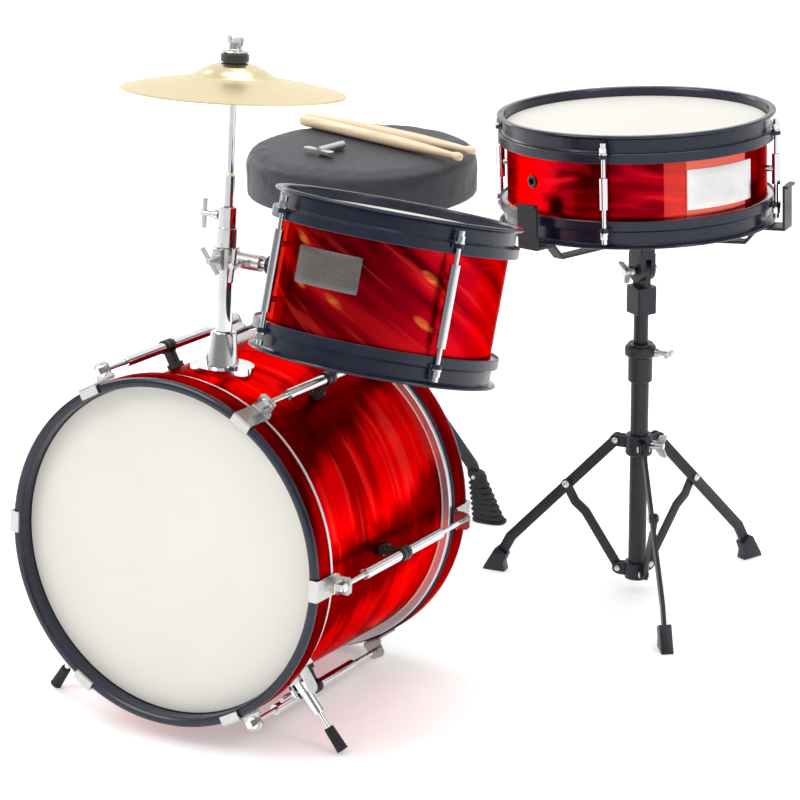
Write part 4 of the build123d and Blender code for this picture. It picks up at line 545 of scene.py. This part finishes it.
def lathe(name, prof, o, x, n, mat, seg=128, closed=True, sharp=35.0):
    """Turns (radius, height) points round the axis n through o."""
    y = n.cross(x)
    vs, fs = [], []
    m = len(prof)
    for i in range(seg):
        a = 2 * math.pi * i / seg
        d = x * math.cos(a) + y * math.sin(a)
        for r, h in prof:
            vs.append(o + d * (r * MM) + n * (h * MM))
    for i in range(seg):
        j = (i + 1) % seg
        for q in range(m if closed else m - 1):
            w = (q + 1) % m
            fs.append((i * m + q, j * m + q, j * m + w, i * m + w))
    ob = obj_from(name, vs, fs, mat, sharp)
    bm = bmesh.new()
    bm.from_mesh(ob.data)
    bmesh.ops.remove_doubles(bm, verts=bm.verts, dist=1e-7)
    bmesh.ops.recalc_face_normals(bm, faces=bm.faces)
    bm.to_mesh(ob.data)
    bm.free()
    ob.data.polygons.foreach_set("use_smooth", [True] * len(ob.data.polygons))
    ob.data.set_sharp_from_angle(angle=rad(sharp))
    return ob


def rounded(pts, r, n=4):
    """Rounds the corners of a closed outline."""
    out = []
    c = len(pts)
    for i in range(c):
        a, p, b = (Vector((*pts[(i - 1) % c], 0)), Vector((*pts[i], 0)), Vector((*pts[(i + 1) % c], 0)))
        u, v = (a - p), (b - p)
        k = min(r, u.length * 0.45, v.length * 0.45)
        s, e = p + u.normalized() * k, p + v.normalized() * k
        for j in range(n + 1):
            t = j / n
            q = s * (1 - t) ** 2 + p * (2 * t * (1 - t)) + e * t * t
            out.append((q.x, q.y))
    return out


def apply_mods(ob):
    dg = bpy.context.evaluated_depsgraph_get()
    me = bpy.data.meshes.new_from_object(ob.evaluated_get(dg))
    ob.modifiers.clear()
    old = ob.data
    ob.data = me
    bpy.data.meshes.remove(old)
    return ob


def split(node, mats, bevel=0.0, prefix=None):
    """Copies a CAD node's solids into pieces of their own; mats is a function of the piece's box that gives its material."""
    src = NODES[node]
    bm = bmesh.new()
    bm.from_mesh(src.data)
    bmesh.ops.remove_doubles(bm, verts=bm.verts, dist=2e-6)
    bm.verts.ensure_lookup_table()
    seen, groups = set(), []
    for v in bm.verts:
        if v.index in seen:
            continue
        stack, g = [v], []
        seen.add(v.index)
        while stack:
            q = stack.pop()
            g.append(q.index)
            for e in q.link_edges:
                w = e.other_vert(q)
                if w.index not in seen:
                    seen.add(w.index)
                    stack.append(w)
        groups.append(set(g))
    out = []
    groups = [g for g in groups if len(g) > 3]
    for i, g in enumerate(sorted(groups, key=len)):
        vs = sorted(g)
        ix = {v: j for j, v in enumerate(vs)}
        co = [bm.verts[v].co.copy() for v in vs]
        fs = [tuple(ix[v.index] for v in f.verts) for f in bm.faces if f.verts[0].index in g]
        lo = Vector([min(c[a] for c in co) for a in range(3)])
        hi = Vector([max(c[a] for c in co) for a in range(3)])
        ob = obj_from("%s_%d" % (prefix or node, i), co, fs, mats(lo, hi), sharp=32)
        if bevel:
            b = ob.modifiers.new("bevel", "BEVEL")
            b.width = bevel
            b.segments = 2
            b.limit_method = "ANGLE"
            b.angle_limit = rad(38)
            apply_mods(ob)
            ob.data.polygons.foreach_set("use_smooth", [True] * len(ob.data.polygons))
            ob.data.set_sharp_from_angle(angle=rad(50))
        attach(ob, src["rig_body"])
        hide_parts(node)
        out.append(ob)
    bm.free()
    return out


def dome(name, c, axis, r, h, body, mat, seg=20):
    """A rivet or screw head: a low dome with a flange."""
    x = axis.orthogonal().normalized()
    prof = [(0.01, h), (r * 0.35, h * 0.97), (r * 0.62, h * 0.84), (r * 0.82, h * 0.60), (r * 0.94, h * 0.34), (r, h * 0.12), (r, -0.3), (0.01, -0.3)]
    ob = lathe(name, prof, c, x, axis, mat, seg=seg, sharp=50)
    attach(ob, body)
    return ob


def tube_curve(name, pts, r, mat, body, cyclic=False, res=3):
    cu_ = bpy.data.curves.new(name, "CURVE")
    cu_.dimensions = "3D"
    cu_.bevel_depth = r
    cu_.bevel_resolution = res
    sp = cu_.splines.new("POLY")
    sp.points.add(len(pts) - 1)
    for i, p in enumerate(pts):
        sp.points[i].co = (*p, 1)
    sp.use_cyclic_u = cyclic
    ob = bpy.data.objects.new(name, cu_)
    SC.collection.objects.link(ob)
    dg = bpy.context.evaluated_depsgraph_get()
    me = bpy.data.meshes.new_from_object(ob.evaluated_get(dg))
    bpy.data.objects.remove(ob)
    ob = bpy.data.objects.new(name, me)
    SC.collection.objects.link(ob)
    me.materials.clear()
    me.materials.append(mat)
    me.polygons.foreach_set("use_smooth", [True] * len(me.polygons))
    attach(ob, body)
    return ob


# ------------------------------------------------------------------ bass drum details
for nm, f in (("front", True), ("rear", False)):
    pts = [(162.0, 2.6), (163.0, 2.6), (163.16, 2.9), (163.16, 22.4), (163.0, 22.7), (162.0, 22.7)]
    pts = [(r, h if f else BASS_LEN / MM - h) for r, h in pts]
    ob = lathe("bass_hoop_inlay_" + nm, pts, BO, BX, BN, M_INLAY, seg=192)
    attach(ob, "kit_base")


# badges: thin curved plates with rolled edges
def badge(name, o, a1, a2, n, r, ang, half_w, h_mid, half_h, body):
    t = 0.0009
    nx, nz = 26, 10
    vs, fs = [], []
    for lay in (0, 1):
        for i in range(nx + 1):
            for j in range(nz + 1):
                s = -1 + 2 * i / nx
                q = -1 + 2 * j / nz
                # rounded corners
                cx = math.copysign(max(0.0, abs(s * half_w) - (half_w - 0.0007)), s)
                cy = math.copysign(max(0.0, abs(q * half_h) - (half_h - 0.0007)), q)
                x_, y_ = s * half_w, q * half_h
                m_ = math.hypot(cx, cy)
                if m_ > 0.0007:
                    x_ -= cx * (1 - 0.0007 / m_)
                    y_ -= cy * (1 - 0.0007 / m_)
                edge = max(abs(s), abs(q))
                rr = r + (0.0001 if lay == 0 else t - (0.0003 if edge > 0.999 else 0.0))
                th = ang + x_ / r
                d = a1 * math.cos(th) + a2 * math.sin(th)
                vs.append(o + d * rr + n * (h_mid + y_))
    w = (nx + 1) * (nz + 1)
    for i in range(nx):
        for j in range(nz):
            a = i * (nz + 1) + j
            fs.append((a, a + 1, a + nz + 2, a + nz + 1))
            fs.append((w + a, w + a + nz + 1, w + a + nz + 2, w + a + 1))
    ring = [i * (nz + 1) for i in range(nx + 1)] + [nx * (nz + 1) + j for j in range(1, nz + 1)] + [i * (nz + 1) + nz for i in range(nx - 1, -1, -1)] + [j for j in range(nz - 1, 0, -1)]
    for i, a in enumerate(ring):
        b = ring[(i + 1) % len(ring)]
        fs.append((a, b, w + b, w + a))
    ob = obj_from(name, vs, fs, M_BADGE_SHADED if name.startswith("tom") else M_BADGE, sharp=40)
    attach(ob, body)
    return ob


for nm, o, a1, a2, n, r, pts, body in (("tom_badge", TO, T1, T2, TN, TOM_R, ((298, 262), (360, 277), (329, 251), (326, 289)), "tom"),
                                        ("snare_badge", SO, S1, S2, SN, SNARE_R, ((687, 187), (750, 183), (718, 166), (718, 206)), "snare")):
    q = [aim(x, y, o, n, r) for x, y in pts]
    th = [math.atan2(p.dot(a2), p.dot(a1)) for p, h in q]
    t0, t1 = sorted((th[0], th[1]))
    h0, h1 = sorted((q[2][1], q[3][1]))
    badge(nm, o, a1, a2, n, r, (t0 + t1) / 2, (t1 - t0) / 2 * r, (h0 + h1) / 2, (h1 - h0) / 2, body)

# snare vent eyelet
vd = pol(S1, S2, 146)
ob = lathe("snare_vent", [(3.0, -2.0), (3.9, -2.0), (3.9, 0.15), (6.2, 0.15), (6.5, 0.6), (6.0, 1.2), (4.2, 1.5), (3.2, 1.0)], SO - SN * 0.052 + vd * (SNARE_R - 0.00005), SN, vd, M_PLASTIC, seg=32)
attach(ob, "snare")

# snare wires: spiral strands, end plates and strap
z0 = -SNARE_LEN + 0.0072
SU = pol(S1, S2, 239.0)
SV = SN.cross(SU)
parts_v, parts_f = [], []
for k_ in range(12):
    off = (k_ - 5.5) * 0.0032
    turns, seg_n, rr = 62, 7, 0.00075
    prev = None
    c_pts = []
    for i in range(turns * seg_n + 1):
        a = 2 * math.pi * i / seg_n
        s = -0.092 + 0.184 * i / (turns * seg_n)
        c_pts.append(SO + SN * (z0 + rr * math.sin(a) - 0.0002) + SV * (off + rr * math.cos(a)) + SU * s)
    base = len(parts_v)
    for i, p in enumerate(c_pts):
        t = (c_pts[min(i + 1, len(c_pts) - 1)] - c_pts[max(i - 1, 0)]).normalized()
        e1 = t.cross(SN).normalized()
        e2 = t.cross(e1)
        for j in range(3):
            aa = 2 * math.pi * j / 3
            parts_v.append(p + (e1 * math.cos(aa) + e2 * math.sin(aa)) * 0.00026)
    for i in range(len(c_pts) - 1):
        for j in range(3):
            j2 = (j + 1) % 3
            parts_f.append((base + i * 3 + j, base + i * 3 + j2, base + (i + 1) * 3 + j2, base + (i + 1) * 3 + j))


def slab(c, x, y, z, lx, ly, lz, cut=0.0008):
    """A plate with bevelled edges, as verts and faces added to the lists."""
    base = len(parts_v)
    prof = [(-lz / 2, cut), (-lz / 2 + min(cut, lz * 0.3), 0), (lz / 2 - min(cut, lz * 0.3), 0), (lz / 2, cut)]
    out = rounded([(-lx / 2, -ly / 2), (lx / 2, -ly / 2), (lx / 2, ly / 2), (-lx / 2, ly / 2)], min(lx, ly) * 0.2, 3)
    m = len(out)
    for hz, ins in prof:
        for a, b in out:
            fa, fb = 1 - 2 * ins / lx * 0.6, 1 - 2 * ins / ly * 0.6
            parts_v.append(c + x * a * fa + y * b * fb + z * hz)
    for L in range(3):
        for i in range(m):
            j = (i + 1) % m
            parts_f.append((base + L * m + i, base + L * m + j, base + (L + 1) * m + j, base + (L + 1) * m + i))
    parts_f.append(tuple(base + i for i in range(m))[::-1])
    parts_f.append(tuple(base + 3 * m + i for i in range(m)))


for s in (-1, 1):
    slab(SO + SN * z0 + SU * (s * 0.095), SU, SV, SN, 0.008, 0.042, 0.0012)
slab(SO + SN * z0 + SU * 0.1175, SU, SV, SN, 0.040, 0.024, 0.0006)
slab(SO + SN * z0 - SU * 0.112, SU, SV, SN, 0.030, 0.024, 0.0006)
slab(SO + SN * (z0 + 0.0116) + SU * (SNARE_R + 0.0099), SN, SV, SU, 0.024, 0.024, 0.0008)
slab(SO + SN * z0 + SU * (SNARE_R + 0.0050), SU, SV, SN, 0.0106, 0.024, 0.0006)
ob = obj_from("snare_strands", parts_v, parts_f, M_STEEL, sharp=40)
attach(ob, "snare")
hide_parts("snare_wires")

# pedal spring: a helix
SP = at(-49.5, 328.0, 0)
sp_pts = []
zb, zt = 0.022, 0.0878
for i in range(0, 22 * 14 + 1):
    a = 2 * math.pi * i / 14
    sp_pts.append(SP + Vector((0.0038 * math.cos(a), 0.0038 * math.sin(a), zb + 0.003 + (zt - zb - 0.006) * i / (22 * 14))))
ob = tube_curve("pedal_spring_coil", sp_pts, 0.0008, M_STEEL, NODES["pedal_spring"]["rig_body"], res=2)
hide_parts("pedal_spring")


# ------------------------------------------------------------------ solids that are two materials in the CAD
def spoke(o, az):
    u = Vector((math.cos(rad(az)), math.sin(rad(az)), 0))
    return o, u, Vector((-u.y, u.x, 0))


def low_is(mat_low, mat_high, z):
    return lambda lo, hi: mat_low if hi.z < z else mat_high


for s in ("left", "right"):
    split("spur_" + s, lambda lo, hi: M_RUBBER if hi.z < 0.035 else M_CHROME)
for k_ in STAND_AZ:
    split("stand_leg_" + k_, lambda lo, hi: M_RUBBER if hi.z < 0.045 else M_STAND, bevel=0.0007)
    split("stand_brace_" + k_, lambda lo, hi: M_STAND, bevel=0.0005)
for k_ in THRONE_AZ:
    o_, u_, v_ = spoke(TX0, THRONE_AZ[k_])
    for p_ in split("throne_leg_" + k_, lambda lo, hi: M_STAND):
        # the moulded foot is cut away here, and the ribbed boot below stands in its place
        bm_ = bmesh.new()
        bm_.from_mesh(p_.data)
        cut = [f for f in bm_.faces if all(q.co.z < 0.060 and (q.co - o_).dot(u_) > 0.118 for q in f.verts) and any(abs((q.co - o_).dot(v_)) > 0.0024 for q in f.verts)]
        bmesh.ops.delete(bm_, geom=cut, context="FACES")
        loose = [q for q in bm_.verts if not q.link_faces]
        bmesh.ops.delete(bm_, geom=loose, context="VERTS")
        print("throne foot faces cut", k_, len(cut), len(bm_.faces))
        bm_.to_mesh(p_.data)
        bm_.free()
        if not len(p_.data.polygons):
            bpy.data.objects.remove(p_)
    split("throne_brace_" + k_, lambda lo, hi: M_STAND, bevel=0.0006)
split("pedal_beater", lambda lo, hi: M_FELTW if (hi - lo).length < 0.06 and hi.z > 0.12 else M_CHROME, bevel=0.0005)


# rivets on the tripods
for k_, az in STAND_AZ.items():
    o, u, v = spoke(SX0, az)
    for s in (1, -1):
        dome("stand_rivet_up_%s_%d" % (k_, s + 1), o + u * 0.024 + UP * 0.1615 + v * (s * 0.0054), v * s, 3.3, 1.3, "stand_collar", M_RIVET)
    dome("stand_rivet_mid_%s" % k_, o + u * 0.0765 + UP * 0.107 + v * 0.0062, v, 3.9, 1.6, "stand_brace_" + k_, M_RIVET)
    dome("stand_rivet_mid2_%s" % k_, o + u * 0.0765 + UP * 0.107 - v * 0.0033, -v, 3.7, 1.4, "stand_leg_" + k_, M_RIVET)
    dome("stand_rivet_low_%s" % k_, o + u * 0.0185 + UP * 0.024 + v * 0.0083, v, 3.2, 1.3, "kit_base", M_RIVET)
    dome("stand_rivet_low2_%s" % k_, o + u * 0.0185 + UP * 0.024 - v * 0.0009, -v, 3.4, 1.2, "kit_base", M_RIVET)
for k_, az in THRONE_AZ.items():
    o, u, v = spoke(TX0, az)
    # a boot of stacked saw-tooth ribs that leans in along the leg
    n_rib, side_n = 8, 28
    rings = []
    for i in range(n_rib):
        t = i / (n_rib - 1)
        z = 0.0445 - 0.0420 * t
        cx = 0.1395 + 0.0125 * t
        ax, ay = 0.0115 + 0.0078 * t, 0.0090 + 0.0029 * t
        dz = 0.0420 / (n_rib - 1)
        rings += [(z, cx, ax - 0.0026, ay - 0.0016), (z - dz * 0.50, cx, ax + 0.0001, ay + 0.0001), (z - dz * 0.62, cx, ax, ay), (z - dz * 0.74, cx, ax - 0.0024, ay - 0.0014)]
    rings = [r_ for r_ in rings if r_[0] > 0.0026]
    rings += [(0.0022, 0.1520, 0.0192, 0.0118), (0.0, 0.1520, 0.0190, 0.0116)]
    top_r = [(0.0560, 0.1355, 0.0072, 0.0066), (0.0545, 0.1358, 0.0092, 0.0082), (0.0500, 0.1372, 0.0102, 0.0086)]
    rings = top_r + rings
    vs, fs = [], []
    for z, cx, ax, ay in rings:
        for j in range(side_n):
            a_ = 2 * math.pi * j / side_n
            ca_, sa_ = math.cos(a_), math.sin(a_)
            ex = 0.72
            px_ = math.copysign(abs(ca_) ** ex, ca_) * ax
            py_ = math.copysign(abs(sa_) ** ex, sa_) * ay
            vs.append(o + u * (cx + px_) + v * py_ + UP * max(z - 0.10 * px_ * (z > 0.003), 0.0))
    for i in range(len(rings) - 1):
        for j in range(side_n):
            j2 = (j + 1) % side_n
            fs.append((i * side_n + j, i * side_n + j2, (i + 1) * side_n + j2, (i + 1) * side_n + j))
    fs.append(tuple(range(side_n))[::-1])
    fs.append(tuple(range((len(rings) - 1) * side_n, len(rings) * side_n)))
    ob = obj_from("throne_boot_" + k_, vs, fs, M_RUBBER, sharp=28)
    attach(ob, "throne_leg_" + k_)
    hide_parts("throne_leg_" + k_)
    for s in (1, -1):
        dome("throne_boot_rivet_%s_%d" % (k_, s + 1), o + u * 0.1362 + UP * 0.0505 + v * (s * 0.0084), v * s, 2.4, 1.3, "throne_leg_" + k_, M_RIVET)
        dome("throne_rivet_up_%s_%d" % (k_, s + 1), o + u * 0.027 + UP * 0.191 + v * (s * 0.0062), v * s, 3.4, 1.3, "throne_collar", M_RIVET)
    dome("throne_rivet_mid_%s" % k_, o + u * 0.0826 + UP * 0.1217 + v * 0.0068, v, 4.2, 1.6, "throne_brace_" + k_, M_RIVET)
    dome("throne_rivet_mid2_%s" % k_, o + u * 0.0826 + UP * 0.1217 - v * 0.0038, -v, 4.0, 1.4, "throne_leg_" + k_, M_RIVET)
SEAT_SEAM = rad(-137.0)


# ------------------------------------------------------------------ throne seat
def cushion():
    ins = 1.6
    R, B_, T = SEAT_R / MM - ins, SEAT_BOT / MM + 0.4, SEAT_TOP / MM - 2.2
    prof = [(0.0, B_), (R - 34, B_), (R - 28, B_ - 8.5), (R - 14, B_ - 11.0), (R - 6, B_ - 10.0), (R - 1.8, B_ - 6.0), (R, B_ - 1.0), (R, B_ + 10), (R, T - 8), (R - 0.8, T - 4.6), (R - 3.0, T - 1.9), (R - 6.5, T - 0.6),
            (R - 14, T), (R - 40, T + 0.4), (0.0, T + 0.8)]
    ob = lathe("throne_cushion", prof, TX0, BX, UP, M_VINYL, seg=96, closed=False, sharp=180)
    return ob


cush = cushion()
rm = cush.modifiers.new("remesh", "REMESH")
rm.mode = "VOXEL"
rm.voxel_size = 0.0040
rm.use_smooth_shade = True
apply_mods(cush)
me = cush.data
base = np.zeros(len(me.vertices) * 3)
me.vertices.foreach_get("co", base)
base = base.reshape(-1, 3)
g = cush.vertex_groups.new(name="pin")
g.add([int(i) for i in np.where(base[:, 2] < SEAT_BOT + 0.004)[0]], 1.0, "REPLACE")
cl = cush.modifiers.new("cloth", "CLOTH")
cl.settings.vertex_group_mass = "pin"
cl.settings.use_pressure = True
cl.settings.uniform_pressure_force = 4.0
cl.settings.effector_weights.gravity = 0.0
cl.settings.quality = 6
cl.settings.tension_stiffness = 30
cl.settings.compression_stiffness = 30
cl.settings.bending_stiffness = 2.0
for fr in range(1, 21):
    SC.frame_set(fr)
dg = bpy.context.evaluated_depsgraph_get()
ev = cush.evaluated_get(dg)
co = np.zeros(len(ev.data.vertices) * 3)
ev.data.vertices.foreach_get("co", co)
co = co.reshape(-1, 3)
cush.modifiers.clear()
mv = co - base
ln = np.linalg.norm(mv, axis=1, keepdims=True)
cap = 0.0016
mv = mv * np.minimum(1.0, cap / np.maximum(ln, 1e-9))
base = base + mv
me.vertices.foreach_set("co", base.ravel())
me.update()
print("cushion moved by up to", float(ln.max()))
SC.frame_set(1)
me = cush.data
co = np.zeros(len(me.vertices) * 3)
me.vertices.foreach_get("co", co)
co = co.reshape(-1, 3)
x_, y_, z_ = co[:, 0] - TX0.x, co[:, 1] - TX0.y, co[:, 2]
rr_ = np.hypot(x_, y_)
# the crown, and the flat underside on its pan
top = z_ > (SEAT_BOT + SEAT_TOP) / 2
crown = 0.0014 * np.clip(1 - (rr_ / 0.118) ** 2, 0, 1)
z_ = np.where(top, z_ + crown * np.clip((z_ - 0.38) / 0.02, 0, 1), z_)
z_ = np.minimum(z_, SEAT_TOP - 0.0002)
z_ = np.where(z_ < SEAT_BOT + 0.0006, SEAT_BOT + 0.0004, z_)
th_ = np.arctan2(y_, x_)
# seam dip on the wall
dip = 0.0011 * np.exp(-(((th_ - SEAT_SEAM) * rr_) / 0.0028) ** 2) * np.clip((rr_ - 0.114) / 0.008, 0, 1)
pucker = 0.00035 * np.sin(z_ * 620) * np.exp(-(((th_ - SEAT_SEAM) * rr_) / 0.012) ** 2)
k_r = np.minimum(rr_ - dip + pucker, SEAT_R + 0.0012) / np.maximum(rr_, 1e-9)
co[:, 0], co[:, 1], co[:, 2] = TX0.x + x_ * k_r, TX0.y + y_ * k_r, z_
me.vertices.foreach_set("co", co.ravel())
me.update()
sb = cush.modifiers.new("sub", "SUBSURF")
sb.levels = sb.render_levels = 1
apply_mods(cush)
cush.data.polygons.foreach_set("use_smooth", [True] * len(cush.data.polygons))
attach(cush, "throne_seat")
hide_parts("throne_seat")
for k_ob in split("throne_seat", lambda lo, hi: M_STAND, prefix="throne_pan"):
    lo = min(v.co.z for v in k_ob.data.vertices)
    if lo > 0.35:                      # the CAD pad itself is not shown
        bpy.data.objects.remove(k_ob)

# ------------------------------------------------------------------ studio
fm = N("floor_paint")
fa = fm.noise(scale=3, detail=2)
fm.set(color=fm.mix(fa, (0.90, 0.90, 0.90), (0.92, 0.92, 0.92)), rough=0.55, spec=0.2, emit=0.30, emit_color=(1.0, 1.0, 1.0))
n_arc, vs, fs = 14, [], []
W = 9.0
sect = [(-7.0, 0.0), (3.2, 0.0)] + [(3.2 + 1.6 * math.sin(rad(a)), 1.6 - 1.6 * math.cos(rad(a))) for a in range(6, 91, 7)] + [(4.8, 6.0)]
for s in (-W, W):
    for a, z in sect:
        p = cr * s + Vector((-math.sin(yaw), math.cos(yaw), 0)) * a
        vs.append((p.x, p.y, z - 0.0006))
m_ = len(sect)
for i in range(m_ - 1):
    fs.append((i, m_ + i, m_ + i + 1, i + 1))
floor = obj_from("studio_floor", vs, fs, fm.m, sharp=180)


def area(name, loc, target, size, energy, col=(1, 1, 1), size_y=None):
    l = bpy.data.lights.new(name, "AREA")
    l.energy = energy
    l.color = col
    l.size = size
    if size_y:
        l.shape = "RECTANGLE"
        l.size_y = size_y
    ob = bpy.data.objects.new(name, l)
    SC.collection.objects.link(ob)
    ob.location = loc
    ob.rotation_euler = (Vector(target) - Vector(loc)).to_track_quat("-Z", "Y").to_euler()
    return ob


area("key", (-1.1, -1.9, 2.3), (0, -0.1, 0.3), 1.3, 26, size_y=1.3)
area("fill", (2.2, -0.8, 1.5), (0, 0, 0.3), 0.7, 12, size_y=1.8)
area("top", (0.1, 0.3, 2.6), (0, 0, 0.2), 1.8, 22, size_y=1.8)
area("strip", (-1.9, 0.6, 1.2), (0, 0, 0.3), 0.4, 10, size_y=1.8)

w = bpy.data.worlds.new("studio")
SC.world = w
w.use_nodes = True
wt = w.node_tree
wt.nodes.clear()
wo = wt.nodes.new("ShaderNodeOutputWorld")
bg = wt.nodes.new("ShaderNodeBackground")
wt.links.new(bg.outputs[0], wo.inputs[0])
tc = wt.nodes.new("ShaderNodeTexCoord")
sx = wt.nodes.new("ShaderNodeSeparateXYZ")
wt.links.new(tc.outputs["Generated"], sx.inputs[0])
rp = wt.nodes.new("ShaderNodeValToRGB")
e = rp.color_ramp.elements
e[0].position, e[0].color = 0.0, (0.85, 0.85, 0.86, 1)
e[1].position, e[1].color = 1.0, (1, 1, 1, 1)
for pos, c in ((0.04, 0.80), (0.14, 0.30), (0.34, 0.22), (0.52, 0.85), (0.75, 0.95)):
    el = e.new(pos)
    el.color = (c, c, c * 1.01, 1)
wt.links.new(sx.outputs["Z"], rp.inputs[0])
wt.links.new(rp.outputs[0], bg.inputs[0])
bg.inputs[1].default_value = 0.95

SC.view_settings.view_transform = "Standard"
SC.view_settings.look = "None"
SC.view_settings.exposure = 0.0
